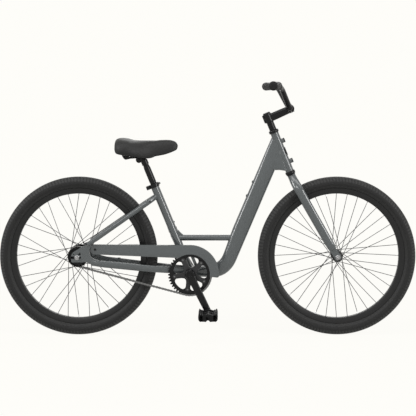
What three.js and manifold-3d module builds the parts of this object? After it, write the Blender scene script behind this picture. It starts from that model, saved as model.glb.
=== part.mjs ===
// Step-through bicycle in millimetres. X runs forwards, Y to the rider's left, Z up.
// The wheels stand on Z = 0 and X = 0 lies midway between the axles.

import * as THREE from 'three';
import { mergeVertices } from 'three/addons/utils/BufferGeometryUtils.js';
import Module from 'manifold-3d';

const wasm = await Module();
wasm.setup();

// Layout of the whole bicycle
const wheelbase = 1090;
const wheelRadius = 333.5;
const bottomBracketDrop = 70.6;
const tyreToBracket = 138.1;
const seatTubeAngle = 67.4;
const headAngle = 68;
const forkRake = 50;
const crankLength = 170;
const crankAngle = -63.2;
const pedalCentreWidth = 281;
const chainLine = 45;

// Clearances and cuts
const fitGap = 0.3;
const cutOverrun = 4;

// Wheels
const wheelSteps = 32;
const tyreWidth = 54;
const tyreHeight = 48.5;
const tyreWall = 3;
const tyreShoulderAngles = [38, 82, 132];
const rimWidth = 30;
const rimDepth = 23;
const rimFloorWidth = 18;
const rimChannelWidth = 24;
const rimChannelDepth = 11;
const spokeCount = 36;
const spokeCrossAngle = 60;
const spokeRadius = 1.1;
const spokeStagger = 1.9;
const hubSteps = 12;
const hubFlangeThickness = 6.2;

// Front hub, axle and nuts
const frontHubWidth = 100;
const frontFlangeRadius = 22.5;
const frontFlangeSpacing = 66;
const frontBarrelRadius = 12;
const frontShellWidth = 86;
const frontConeRadius = 8.5;
const frontAxleRadius = 4.5;
const axleNutRadius = 10;
const axleNutThickness = 9;
const axleNutFlange = 2;
const axleEnd = 4;

// Coaster hub, driver and cog
const rearHubWidth = 110;
const rearFlangeRadius = 44;
const rearFlangeSpacing = 56;
const rearBarrelRadius = 22;
const rearConeRadius = 9;
const rearAxleRadius = 5;
const driverRadius = 17;
const cogTeeth = 18;
const cogThickness = 2.6;

// Chain and chainring
const chainPitch = 12.7;
const chainRollerRadius = 3.9;
const chainPlateHalfHeight = 4.2;
const chainInnerWidth = 4.4;
const chainWidth = 8.4;
const chainPinRadius = 2.5;
const chainPinCount = 5;
const ringTeeth = 44;
const ringThickness = 3;
const ringToothReach = 3.8;
const cogToothReach = 3.4;
const ringInnerRadius = 74;

// Cranks and pedals
const spiderArms = 5;
const boltCircleRadius = 65;
const spiderThickness = 5.2;
const spiderHubRadius = 24;
const spiderTabRadius = 9;
const crankAxleRadius = 8.5;
const crankAxleLength = 142;
const crankThickness = 14;
const crankBossRadius = 22;
const crankEyeRadius = 13;
const crankInnerFace = 59;
const crankFlare = 12;
const pedalAxleRadius = 6;
const pedalLength = 80;
const pedalHeight = 28;
const pedalWidth = 95;
const pedalBarrelRadius = 10;
const pedalWingDepth = 15;
const pedalPlate = 6;
const pedalNeck = 3;
const leftPedalTurn = 67.4;

// Bottom bracket
const bracketShellRadius = 21;
const bracketShellWall = 4;
const bracketShellWidth = 68;
const bracketCupFlange = 3;

// Seat tube, clamp collar and quick-release lever
const seatTubeRadius = 17.45;
const seatTubeLength = 389.5;
const seatPostRadius = 13.6;
const seatBoreDepth = 300;
const collarHeight = 16;
const collarWall = 3.4;
const collarSlit = 2.4;
const earReach = 14;
const earWidth = 22;
const leverThickness = 4.5;
const leverHeight = 9;
const camRadius = 7;
const leverSweep = 118;

// Head tube, headset, badge and basket bosses
const tyreToCrown = 14.5;
const crownHeight = 42.7;
const headsetCupHeight = 14;
const headTubeLength = 174.7;
const headTubeRadius = 17.5;
const headTubeBore = 15;
const headsetCupRadius = 21.3;
const headsetSleeve = 12;
const basketBossRadius = 8.2;
const basketBossReach = 27;
const upperBossHeight = 147;
const lowerBossHeight = 50;
const badgeLength = 36;
const badgeWidth = 17;
const badgeThickness = 1.6;

// Down tube with its web behind the head tube
const downTubeTall = 61;
const downTubeWide = 46;
const downTubeEndTall = 41;
const downTubeTopReach = 126.5;
const downTubeCornerRise = 7.8;
const downTubeBend = 58;
const webWide = 33;
const webTopBelow = 14;
const webArchRise = 11;
const bottleBossSpacing = 64;
const bottleBossHeight = 392;
const bottleBossRadius = 7;
const bottleBossProud = 2.5;

// Cross tube
const crossTubeRadius = 12.5;
const crossTubeRise = 145.5;
const gussetLength = 38;
const gussetHeight = 20;
const gussetWide = 15;

// Chain stays, seat stays and bridge
const chainStayTall = 25;
const chainStayWide = 16;
const chainStayStart = 22;
const chainStayWaist = 28.5;
const chainStayTyreRoom = 7;
const seatStayRadius = 9.8;
const seatStayTopBelow = 44;
const seatStayTyreRoom = 9;
const bridgeRadius = 6;
const bridgeAhead = 6;

// Dropouts and the tab that holds the rear of the chain guard
const dropoutThickness = 6;
const dropoutLength = 120;
const dropoutHeight = 87;
const axleSlotWidth = 10.8;
const guardTabHeight = 12;
const guardTabThickness = 2;

// Chain guard and its bracket
const guardThickness = 2;
const guardInnerRadius = 83;
const guardOuterRadius = 121.5;
const guardFrontAngle = -7;
const guardInnerAngle = 124.8;
const guardRearReach = 54;
const guardRearRise = 33;
const guardRearRadius = 20.5;
const guardLipDepth = 9;
const guardLipThickness = 1.8;
const guardScrewRadius = 5;
const guardScrewHeight = 1.8;
const bracketPlate = 2.2;
const bracketStrapLap = 2;
const bracketStrutAhead = 35.7;
const bracketStrutWidth = 13;

// Coaster brake arm with its clip
const brakeArmThickness = 3;
const brakeArmOffset = 39.6;
const brakeArmLength = 164;
const brakeArmEyeRadius = 15;
const brakeArmTipRadius = 8;
const clipThickness = 1.5;
const clipWidth = 13;

// Fork
const steererRadius = 12.7;
const bladeTall = 32;
const bladeWide = 23;
const bladeEndTall = 26;
const bladeEndWide = 19;
const bladeTyreRoom = 13;
const bladeEndRise = 40;
const forkEndThickness = 5;
const forkEndRadius = 15;
const crownShoulder = 27;
const crownRaceHeight = 1.5;

// Stem, handlebar and grips
const spacerRadius = 15.2;
const spacerStack = 34;
const stemClampHeight = 40;
const stemClampRadius = 17.5;
const stemCapHeight = 4;
const stemReach = 98.6;
const stemRise = 23.3;
const stemTall = 33;
const stemWide = 30;
const barClampRadius = 12.7;
const barClampWall = 5.6;
const barClampWidth = 44;
const barRadius = 11.1;
const barSplit = 2;
const barStraight = 26;
const riseStart = 46;
const riseEnd = 120;
const riseKick = 19;
const barRise = 95;
const riserSetback = 41;
const gripBendWidth = 168;
const gripBendSetback = 56;
const gripBendTrim = 17;
const gripLength = 130;
const gripSweep = 12;
const gripRadius = 16.6;
const gripFlare = 2;
const gripEndWall = 4;

// Seatpost, saddle clamp, rails, base and cushion
const seatPostExposed = 124;
const seatPostInserted = 150;
const seatPostTopRadius = 11;
const seatPostTaper = 46;
const clampBandRadius = 14.8;
const clampBandHeight = 22;
const clampBehind = 17;
const clampAbovePost = 3;
const clampCheekRadius = 13.5;
const clampCheekThickness = 12;
const clampBoltRadius = 5;
const railRadius = 3.5;
const railSpacing = 44;
const railAboveBolt = 8.5;
const railRearSpacing = 84;
const saddleLength = 267;
const saddleWidth = 200;
const saddleHeight = 89;
const saddleSetback = 146.8;
const saddleAboveClamp = 3;
const saddleBaseThickness = 4;

// Shares that shape the saddle: along from the nose, half width, top, skirt and underside heights
const saddleShares = [
  [0, 0.10, 0.62, 0.50, 0.56],
  [0.02, 0.17, 0.74, 0.44, 0.58],
  [0.06, 0.22, 0.81, 0.40, 0.58],
  [0.13, 0.25, 0.895, 0.30, 0.54],
  [0.22, 0.28, 0.905, 0.19, 0.47],
  [0.34, 0.34, 0.895, 0.12, 0.41],
  [0.44, 0.44, 0.885, 0.05, 0.38],
  [0.53, 0.58, 0.875, 0, 0.37],
  [0.62, 0.76, 0.87, 0.07, 0.38],
  [0.70, 0.90, 0.89, 0.17, 0.42],
  [0.79, 0.98, 0.98, 0.24, 0.47],
  [0.88, 0.97, 1, 0.27, 0.50],
  [0.95, 0.86, 0.945, 0.30, 0.52],
  [0.985, 0.74, 0.85, 0.34, 0.56],
  [1, 0.64, 0.70, 0.44, 0.58],
];

// Shares of the cushion's section: half width, then height between skirt and top
const crownShares = [
  [0.90, 0],
  [1, 0.16],
  [1, 0.36],
  [0.955, 0.60],
  [0.84, 0.80],
  [0.62, 0.93],
  [0.32, 0.99],
];
const skirtInnerShare = 0.8;
const undersideShare = 0.7;
const baseWidthShare = 0.62;

// Other shares: of a path's length, of a radius or of a reach
const neckEndShare = 0.36;
const neckShare = 0.3;
const footShare = 0.84;
const cornerShare = 0.5016;
const shoulderShare = 0.1;
const seatStayRootShare = 0.8;
const hexShare = 0.87;
const screwHeadShare = 0.7;
const ringBoltShare = 0.6;
const tyreHalfShare = 0.515;
const treadShare = 0.25;
const toothTipShare = 0.12;
const bladeShoulderShare = 0.05;
const bladeEndShare = 0.78;
const riserTopShare = 0.9;
const gripFlareShare = 0.75;
const leverHeightShare = 0.85;
const padStartShare = 0.36;
const baseFirst = 2;
const baseLast = 12;

// Shares of a dropout's outline about the axle: length forwards, height up
const dropoutShares = [
  [-0.20, 0.155],
  [-0.12, 0.32],
  [0.03, 0.44],
  [0.17, 0.585],
  [0.50, 0.60],
  [0.42, 0.29],
  [0.475, 0.05],
  [0.57, -0.06],
  [0.80, -0.15],
  [0.80, -0.39],
  [0.57, -0.37],
  [0.30, -0.20],
  [0.20, -0.225],
  [-0.20, -0.225],
];
const seatStaySeatShares = [0.37, 0.60];
const chainStaySeatShares = [0.60, -0.255];

// Places that follow from the layout
const rearAxleX = -wheelbase / 2;
const frontAxleX = wheelbase / 2;
const rimOuterRadius = wheelRadius - tyreHeight;
const rimInnerRadius = rimOuterRadius - rimDepth;
const ringPitchRadius = chainPitch / (2 * Math.sin(Math.PI / ringTeeth));
const cogPitchRadius = chainPitch / (2 * Math.sin(Math.PI / cogTeeth));
const point = (x, y, z) => new THREE.Vector3(x, y, z);
const radians = THREE.MathUtils.degToRad;
const rearAxle = point(rearAxleX, 0, wheelRadius);
const frontAxle = point(frontAxleX, 0, wheelRadius);
const bracket = point(rearAxleX + wheelRadius + tyreToBracket, 0, wheelRadius - bottomBracketDrop);
const frontTyreRear = frontAxleX - wheelRadius;
const across = point(0, 1, 0);
const seatUp = point(-Math.cos(radians(seatTubeAngle)), 0, Math.sin(radians(seatTubeAngle)));
const seatAhead = point(seatUp.z, 0, -seatUp.x);
const steerUp = point(-Math.cos(radians(headAngle)), 0, Math.sin(radians(headAngle)));
const steerAhead = point(steerUp.z, 0, -steerUp.x);
const steerFoot = frontAxle.clone().addScaledVector(steerAhead, -forkRake);
const crownBase = wheelRadius + tyreToCrown;
const crownTop = crownBase + crownHeight;
const headTubeFoot = crownTop + headsetCupHeight;
const headTubeTop = headTubeFoot + headTubeLength;
const spacerFoot = headTubeTop + headsetCupHeight;
const stemFoot = spacerFoot + spacerStack;
const stemClampCentre = stemFoot + stemClampHeight / 2;
const steerTurn = radians(headAngle - 90);
const along = (start, direction, distance) => start.clone().addScaledVector(direction, distance);
const onSeatTube = (up, ahead = 0) => along(along(bracket, seatUp, up), seatAhead, ahead);
const onSteerer = (up, ahead = 0) => along(along(steerFoot, steerUp, up), steerAhead, ahead);

// Materials
const finish = (color, roughness, metalness) =>
  new THREE.MeshStandardMaterial({ color, roughness, metalness, flatShading: true });
const greyPaint = finish(0x646a6a, 0.35, 0.3);
const blackPaint = finish(0x1b1b1c, 0.35, 0.3);
const blackRubber = finish(0x323232, 0.85, 0);
const blackGrip = finish(0x242425, 0.8, 0);
const blackVinyl = finish(0x2f2f2f, 0.6, 0);
const blackPlastic = finish(0x1a1a1a, 0.55, 0);
const rimBlack = finish(0x232324, 0.35, 0.5);
const silver = finish(0xb8b8bc, 0.25, 1);
const chainSteel = finish(0x9a9a9c, 0.35, 1);
const darkSteel = finish(0x3a3a3c, 0.4, 0.9);

// Turning geometries into closed solids and back
function orientOutwards(positions, corners) {
  const a = point(0, 0, 0);
  const b = point(0, 0, 0);
  const c = point(0, 0, 0);
  let volume = 0;
  for (let i = 0; i < corners.length; i += 3) {
    a.fromArray(positions, 3 * corners[i]);
    b.fromArray(positions, 3 * corners[i + 1]);
    c.fromArray(positions, 3 * corners[i + 2]);
    volume += a.dot(b.cross(c));
  }
  if (volume < 0) corners.reverse();
  return corners;
}

function solidOf(geometry) {
  const bare = geometry.clone();
  bare.deleteAttribute('normal');
  bare.deleteAttribute('uv');
  const welded = mergeVertices(bare);
  const corners = welded.index.array;
  const kept = [];
  for (let i = 0; i < corners.length; i += 3) {
    const [a, b, c] = [corners[i], corners[i + 1], corners[i + 2]];
    if (a !== b && b !== c && c !== a) kept.push(a, b, c);
  }
  const vertProperties = new Float32Array(welded.attributes.position.array);
  const triVerts = new Uint32Array(orientOutwards(vertProperties, kept));
  return new wasm.Manifold(new wasm.Mesh({ numProp: 3, vertProperties, triVerts }));
}

function geometryOf(solid) {
  const { vertProperties, triVerts } = solid.getMesh();
  const geometry = new THREE.BufferGeometry();
  geometry.setAttribute('position', new THREE.BufferAttribute(vertProperties, 3));
  geometry.setIndex(new THREE.BufferAttribute(triVerts, 1));
  return geometry;
}

const unite = (...solids) => solids.reduce((whole, solid) => whole.add(solid));
const cut = (solid, ...cutters) => cutters.reduce((rest, cutter) => rest.subtract(cutter), solid);

function addPiece(parent, name, solid, material) {
  const mesh = new THREE.Mesh(geometryOf(solid), material);
  mesh.name = name;
  parent.add(mesh);
}

// Basic forms
function rod(start, end, radius, sides = 16, endRadius = radius) {
  const line = end.clone().sub(start);
  const geometry = new THREE.CylinderGeometry(endRadius, radius, line.length(), sides);
  geometry.applyQuaternion(new THREE.Quaternion().setFromUnitVectors(across, line.normalize()));
  const middle = start.clone().lerp(end, 0.5);
  return solidOf(geometry.translate(middle.x, middle.y, middle.z));
}

// A ring or disc about the Y axis from an outline of [radius, y] points
function turned(outline, steps) {
  const profile = [...outline, outline[0]].map(([radius, y]) => new THREE.Vector2(radius, y));
  return solidOf(new THREE.LatheGeometry(profile, steps));
}

// The same about any line, from an outline of [radius, height] points
function turnedAlong(foot, direction, outline, steps) {
  const profile = [...outline, outline[0]].map(([radius, y]) => new THREE.Vector2(radius, y));
  const geometry = new THREE.LatheGeometry(profile, steps);
  geometry.applyQuaternion(new THREE.Quaternion().setFromUnitVectors(across, direction));
  return solidOf(geometry.translate(foot.x, foot.y, foot.z));
}

function sleeve(innerRadius, outerRadius, fromY, toY, steps = 20) {
  return turned([[innerRadius, fromY], [outerRadius, fromY], [outerRadius, toY], [innerRadius, toY]], steps);
}

// A flat plate with an outline in X and Z, between two Y values
function plate(shape, fromY, toY, curveSegments = 8) {
  const geometry = new THREE.ExtrudeGeometry(shape, { depth: toY - fromY, bevelEnabled: false, curveSegments });
  geometry.rotateX(Math.PI / 2);
  return solidOf(geometry.translate(0, toY, 0));
}

const outlineShape = (corners) => new THREE.Shape(corners.map(([x, z]) => new THREE.Vector2(x, z)));

function block(low, high) {
  const size = high.clone().sub(low);
  const middle = low.clone().lerp(high, 0.5);
  return solidOf(new THREE.BoxGeometry(size.x, size.y, size.z).translate(middle.x, middle.y, middle.z));
}

// A bar with one rounded end at each of two centres, as a shape in X and Z
function taperedBar(start, startRadius, end, endRadius, steps = 8) {
  const angle = Math.atan2(end[1] - start[1], end[0] - start[0]);
  const spread = Math.acos((startRadius - endRadius) / Math.hypot(end[0] - start[0], end[1] - start[1]));
  const corners = [];
  const arc = (centre, radius, from, to) => {
    for (let i = 0; i <= steps; i++) {
      const turn = from + (to - from) * i / steps;
      corners.push([centre[0] + radius * Math.cos(turn), centre[1] + radius * Math.sin(turn)]);
    }
  };
  arc(end, endRadius, angle - spread, angle + spread);
  arc(start, startRadius, angle + spread, angle - spread + 2 * Math.PI);
  return outlineShape(corners);
}

// A closed skin over rings that all have the same number of points
function skin(rings) {
  const sides = rings[0].length;
  const positions = rings.flat().flatMap((corner) => corner.toArray());
  const corners = [];
  for (let i = 0; i < rings.length - 1; i++) {
    for (let j = 0; j < sides; j++) {
      const a = i * sides + j;
      const b = i * sides + (j + 1) % sides;
      corners.push(a, b, a + sides, b, b + sides, a + sides);
    }
  }
  const close = (ring, first, flipped) => {
    const centre = ring.reduce((sum, corner) => sum.add(corner), point(0, 0, 0)).divideScalar(sides);
    positions.push(...centre.toArray());
    const middle = positions.length / 3 - 1;
    for (let j = 0; j < sides; j++) {
      const pair = [first + j, first + (j + 1) % sides];
      corners.push(middle, pair[flipped ? 0 : 1], pair[flipped ? 1 : 0]);
    }
  };
  close(rings[0], 0, false);
  close(rings[rings.length - 1], (rings.length - 1) * sides, true);
  const vertProperties = new Float32Array(positions);
  const triVerts = new Uint32Array(orientOutwards(vertProperties, corners));
  return new wasm.Manifold(new wasm.Mesh({ numProp: 3, vertProperties, triVerts }));
}

function ring(centre, wideAxis, tallAxis, wide, tall, sides) {
  return Array.from({ length: sides }, (_, i) => {
    const turn = 2 * Math.PI * i / sides;
    return along(along(centre, wideAxis, wide * Math.cos(turn)), tallAxis, tall * Math.sin(turn));
  });
}

// A tube of oval section along a path, with half sizes that may change with the share of its length
function bentTube(path, wide, tall, sides, sideways = across) {
  const wideAt = typeof wide === 'function' ? wide : () => wide;
  const tallAt = typeof tall === 'function' ? tall : () => tall;
  const steps = path.slice(1).map((spot, i) => spot.distanceTo(path[i]));
  const total = steps.reduce((sum, step) => sum + step, 0);
  let travelled = 0;
  const rings = path.map((spot, i) => {
    const before = path[Math.max(i - 1, 0)];
    const after = path[Math.min(i + 1, path.length - 1)];
    const direction = after.clone().sub(before).normalize();
    if (i > 0) travelled += steps[i - 1];
    const wideAxis = sideways.clone().addScaledVector(direction, -sideways.dot(direction)).normalize();
    const tallAxis = direction.clone().cross(wideAxis);
    const share = travelled / total;
    return ring(spot, wideAxis, tallAxis, wideAt(share), tallAt(share), sides);
  });
  return skin(rings);
}

// A path through points with each inner corner rounded over a trimmed length
function roundedPath(corners, trims, steps = 5) {
  const path = [corners[0]];
  for (let i = 1; i < corners.length - 1; i++) {
    const back = corners[i - 1].clone().sub(corners[i]).normalize();
    const ahead = corners[i + 1].clone().sub(corners[i]).normalize();
    const curve = new THREE.QuadraticBezierCurve3(
      along(corners[i], back, trims[i - 1]), corners[i], along(corners[i], ahead, trims[i - 1]));
    path.push(...curve.getPoints(steps));
  }
  path.push(corners[corners.length - 1]);
  return path;
}

const mixed = (from, to) => (share) => from + (to - from) * share;

// Main tubes, each made larger by a margin where it cuts its neighbours
const seatTubeForm = (margin = 0) =>
  rod(onSeatTube(0), onSeatTube(seatTubeLength), seatTubeRadius + margin, 20);

const headTubeForm = (margin = 0, overrun = 0) =>
  rod(onSteerer(headTubeFoot - overrun), onSteerer(headTubeTop + overrun), headTubeRadius + margin, 20);

const shellForm = (margin = 0) => {
  const half = bracketShellWidth / 2 + margin;
  return rod(along(bracket, across, -half), along(bracket, across, half), bracketShellRadius + margin, 20);
};

const downTubeTop = onSteerer(headTubeFoot + downTubeTopReach);
const downTubeCornerAhead = (frontTyreRear - bracket.x) * cornerShare;
const downTubeCorner = along(bracket, point(downTubeCornerAhead, 0, downTubeCornerRise), 1);
const downTubePath = roundedPath([downTubeTop, downTubeCorner, bracket], [downTubeBend], 7);
const downTubeDirection = downTubeTop.clone().sub(downTubeCorner).normalize();
const downTubeNormal = point(downTubeDirection.z, 0, -downTubeDirection.x);
const onDownTube = (up, ahead = 0) =>
  along(along(downTubeCorner, downTubeDirection, up), downTubeNormal, ahead);
const downTubeAtHeight = (z) => onDownTube((z - downTubeCorner.z) / downTubeDirection.z);

// One more point on the first straight run, so that its section can change along it
function refined(path) {
  return [path[0], path[0].clone().lerp(path[1], neckEndShare), ...path.slice(1)];
}

// What lies behind the head tube, up to a little behind its axis
function behindHeadTube(solid) {
  const limit = steerAhead.dot(steerFoot) - headTubeRadius / 3;
  return solid.trimByPlane(steerAhead.clone().negate().toArray(), -limit);
}

// The tube narrows to the head tube's width at its top and to the shell's height at its foot
function downTubeForm(margin = 0) {
  const narrowing = (neck, full, foot) => (share) => {
    const late = Math.max(0, (share - footShare) / (1 - footShare));
    const early = Math.max(0, 1 - share / neckShare);
    return (full + (foot - full) * late + (neck - full) * early) / 2 + margin;
  };
  const tube = bentTube(refined(downTubePath), narrowing(webWide, downTubeWide, downTubeEndTall),
    narrowing(downTubeTall, downTubeTall, downTubeEndTall), 16);
  return behindHeadTube(tube);
}

// The web runs from the down tube's middle to the head tube's axis, from its low arch to its top
function webForm() {
  const steps = 6;
  const axisAtHeight = (z) => onSteerer((z - steerFoot.z) / steerUp.z).x;
  const low = onSteerer(headTubeFoot).z;
  const high = onSteerer(headTubeTop - webTopBelow).z;
  const rings = [];
  for (let i = 0; i <= steps; i++) {
    const share = i / steps;
    const z = low + (high - low) * share;
    const rear = along(downTubeAtHeight(z), point(-1, 0, 0), downTubeTall / 2 * share).x;
    const front = axisAtHeight(z);
    const arch = webArchRise * (1 - share);
    const middle = point((rear + front) / 2, 0, z);
    const oval = ring(middle, point(1, 0, 0), across, (front - rear) / 2, webWide / 2, 14);
    oval.forEach((spot) => {
      const offset = (spot.x - middle.x) / ((front - rear) / 2);
      spot.z += arch * (1 - offset * offset);
    });
    rings.push(oval);
  }
  return behindHeadTube(skin(rings));
}

// Chain stays and seat stays, by side: -1 on the chain's side and 1 on the other
const dropoutInner = rearHubWidth / 2;
const dropoutMiddle = dropoutInner + dropoutThickness / 2;
const onDropout = ([ahead, up], y) =>
  point(rearAxleX + ahead * dropoutLength, y, wheelRadius + up * dropoutHeight);
const tyreHalf = tyreWidth / 2;

function chainStayForm(side, margin = 0) {
  const waistX = bracket.x - guardInnerRadius;
  const wideX = rearAxleX + wheelRadius - tyreWall;
  const rearEnd = onDropout(chainStaySeatShares, side * dropoutMiddle);
  const end = point(rearEnd.x - chainStayTall / 2, rearEnd.y, rearEnd.z);
  const front = point(bracket.x, side * chainStayStart, bracket.z + chainStayWide / 2);
  const spread = (x, y) => {
    const share = (front.x - x) / (front.x - end.x);
    return point(x, side * y, front.z + (end.z - front.z) * share - chainStayWide / 4 * share * (1 - share));
  };
  const tyreSide = tyreHalf + chainStayTyreRoom + chainStayWide / 2;
  const corners = [front, spread(waistX, chainStayWaist), spread(wideX - chainStayTall, tyreSide), end];
  const path = roundedPath(corners, [chainStayTall, chainStayTall], 3);
  return bentTube(path, chainStayWide / 2 + margin, chainStayTall / 2 + margin, 12);
}

function seatStayPath(side) {
  const top = onSeatTube(seatTubeLength - seatStayTopBelow);
  const tyreSide = tyreHalf + seatStayTyreRoom;
  const bottom = onDropout(seatStaySeatShares, side * (dropoutMiddle + seatStayRadius / 5));
  const shoulder = top.clone().lerp(bottom, shoulderShare);
  const corners = [
    point(top.x, side * seatTubeRadius * seatStayRootShare, top.z),
    point(shoulder.x, side * tyreSide, shoulder.z),
    bottom,
  ];
  return roundedPath(corners, [seatStayRadius * 2], 4);
}

const seatStayForm = (side, margin = 0) =>
  bentTube(seatStayPath(side), seatStayRadius + margin, seatStayRadius + margin, 10);

function dropoutForm(side, margin = 0) {
  const corners = dropoutShares.map((share) => {
    const spot = onDropout(share, 0);
    return [spot.x, spot.z];
  });
  const near = dropoutInner - margin;
  const far = dropoutInner + dropoutThickness + margin;
  return side < 0 ? plate(outlineShape(corners), -far, -near) : plate(outlineShape(corners), near, far);
}

// Where the chain guard lies: outside the chain and clear of the crank
const chainOuter = chainLine + chainWidth / 2;
const guardTabNear = chainOuter + 3 * fitGap;
const guardTabFar = guardTabNear + guardTabThickness;
const guardNear = guardTabFar + fitGap;
const guardFar = guardNear + guardThickness;
const guardRear = point(rearAxleX + guardRearReach + guardRearRadius, 0, wheelRadius + guardRearRise);

// Frame
function makeFrame(bike) {
  const frame = new THREE.Group();
  bike.add(frame);

  const bore = rod(onSteerer(headTubeFoot - cutOverrun), onSteerer(headTubeTop + cutOverrun), headTubeBore, 16);
  const bosses = [upperBossHeight, lowerBossHeight].map((height) => {
    const level = headTubeFoot + height;
    return rod(onSteerer(level), onSteerer(level, basketBossReach), basketBossRadius, 10);
  });
  addPiece(frame, 'head_tube', cut(unite(headTubeForm(), ...bosses), bore), greyPaint);

  const bottleBosses = [0, bottleBossSpacing].map((step) => {
    const up = bottleBossHeight - step;
    const start = onDownTube(up);
    return rod(start, onDownTube(up, -downTubeTall / 2 - bottleBossProud), bottleBossRadius, 10);
  });
  const downTube = cut(unite(downTubeForm(), webForm(), ...bottleBosses),
    headTubeForm(fitGap, cutOverrun), shellForm(fitGap), headSleeveRoom());
  addPiece(frame, 'down_tube', largest(downTube), greyPaint);

  const postBore = rod(onSeatTube(seatTubeLength - seatBoreDepth), onSeatTube(seatTubeLength + cutOverrun),
    seatPostRadius + fitGap, 18);
  const seatTube = cut(seatTubeForm(), shellForm(fitGap), downTubeForm(fitGap), postBore);
  addPiece(frame, 'seat_tube', largest(seatTube), greyPaint);

  const level = bracket.z + crossTubeRise;
  const seatEnd = onSeatTube(crossTubeRise / seatUp.z);
  const downEnd = downTubeAtHeight(level);
  const seatFace = seatEnd.x + seatTubeRadius / seatUp.z;
  const gussetBase = level + crossTubeRadius - gussetHeight / 2;
  const slope = seatUp.x / seatUp.z;
  const gusset = new THREE.Shape();
  gusset.moveTo(seatEnd.x, level);
  gusset.lineTo(seatFace + gussetLength, gussetBase);
  gusset.quadraticCurveTo(seatFace + gussetLength / 4, gussetBase + gussetHeight / 4,
    seatFace + gussetHeight * slope, gussetBase + gussetHeight * 3 / 2);
  gusset.lineTo(seatEnd.x + gussetHeight * slope, gussetBase + gussetHeight);
  const crossTube = cut(unite(rod(seatEnd, downEnd, crossTubeRadius, 20),
    plate(gusset, -gussetWide / 2, gussetWide / 2, 5)), seatTubeForm(fitGap), downTubeForm(fitGap));
  addPiece(frame, 'cross_tube', largest(crossTube), greyPaint);

  const shellHalf = bracketShellWidth / 2;
  const shellBore = bracketShellRadius - bracketShellWall;
  const shell = sleeve(shellBore, bracketShellRadius, -shellHalf, shellHalf, 20);
  addPiece(frame, 'bottom_bracket_shell', shell.translate(bracket.toArray()), greyPaint);

  for (const [side, name] of [[-1, 'right'], [1, 'left']]) {
    const chainStay = cut(chainStayForm(side), shellForm(fitGap), seatTubeForm(fitGap), downTubeForm(fitGap),
      dropoutForm(side, fitGap));
    addPiece(frame, `chain_stay_${name}`, largest(chainStay), greyPaint);
    const seatStay = cut(seatStayForm(side), seatTubeForm(fitGap), dropoutForm(side, fitGap));
    addPiece(frame, `seat_stay_${name}`, largest(seatStay), greyPaint);
    addPiece(frame, `dropout_${name}`, makeDropout(side), greyPaint);
    addPiece(frame, `bottom_bracket_cup_${name}`, makeBracketCup(side), darkSteel);
  }

  const stayTop = seatStayPath(1);
  const bridgeAt = stayTop[2];
  const bridge = rod(point(bridgeAt.x - bridgeAhead, -bridgeAt.y, bridgeAt.z),
    point(bridgeAt.x - bridgeAhead, bridgeAt.y, bridgeAt.z), bridgeRadius, 12);
  addPiece(frame, 'seat_stay_bridge', largest(cut(bridge, seatStayForm(-1, fitGap), seatStayForm(1, fitGap))),
    greyPaint);

  const cup = (face, end, tip) => turnedAlong(steerFoot, steerUp, [
    [steererRadius + fitGap, end],
    [headsetCupRadius, end],
    [headsetCupRadius, face],
    [headTubeBore - fitGap, face],
    [headTubeBore - fitGap, tip],
    [steererRadius + fitGap, tip],
  ], 16);
  addPiece(frame, 'headset_cup_upper', cup(headTubeTop + fitGap, spacerFoot - fitGap,
    headTubeTop - headsetSleeve), blackPaint);
  addPiece(frame, 'headset_cup_lower', cup(headTubeFoot - fitGap, crownTop + fitGap,
    headTubeFoot + headsetSleeve), blackPaint);

  const badgeFoot = headTubeFoot + (upperBossHeight + lowerBossHeight - badgeLength) / 2;
  const badgeArc = cut(
    rod(onSteerer(badgeFoot), onSteerer(badgeFoot + badgeLength), headTubeRadius + fitGap + badgeThickness, 20),
    headTubeForm(fitGap));
  const badgeWindow = steeredBlock(point(headTubeRadius / 2, -badgeWidth / 2, badgeFoot - cutOverrun),
    point(headTubeRadius * 2, badgeWidth / 2, badgeFoot + badgeLength + cutOverrun));
  addPiece(frame, 'head_badge', badgeArc.intersect(badgeWindow), blackPlastic);

  addPiece(frame, 'seat_clamp_collar', makeCollar(), blackPaint);
  addPiece(frame, 'chain_guard', makeChainGuard(), greyPaint);
  addPiece(frame, 'chain_guard_bracket', makeGuardBracket(), darkSteel);
  addPiece(frame, 'chain', makeChain(), chainSteel);
  addPiece(frame, 'rear_axle', makeRearAxle(), silver);
  for (const [side, name] of [[-1, 'right'], [1, 'left']]) {
    const nut = makeNut(dropoutInner + dropoutThickness, rearAxleRadius, side);
    addPiece(frame, `rear_axle_nut_${name}`, nut.translate(rearAxle.toArray()), silver);
  }
  addPiece(frame, 'coaster_brake_arm', makeBrakeArm(), silver);
}

// The one connected body that is left where a cut trims slivers off an end
function largest(solid) {
  return solid.decompose().reduce((best, part) => (part.volume() > best.volume() ? part : best));
}

// A box in the head tube's own directions
function steeredBlock(low, high) {
  const geometry = new THREE.BoxGeometry(high.x - low.x, high.y - low.y, high.z - low.z);
  const middle = low.clone().lerp(high, 0.5);
  geometry.translate(middle.x, middle.y, middle.z);
  geometry.rotateY(steerTurn);
  return solidOf(geometry.translate(steerFoot.x, steerFoot.y, steerFoot.z));
}

// Room round the headset cups, so that the web stays between them
function headSleeveRoom() {
  const reach = headsetCupRadius + fitGap;
  return unite(
    rod(onSteerer(headTubeTop), onSteerer(headTubeTop + downTubeTall), reach, 24),
    rod(onSteerer(headTubeFoot - downTubeTall), onSteerer(headTubeFoot), reach, 24));
}

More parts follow.
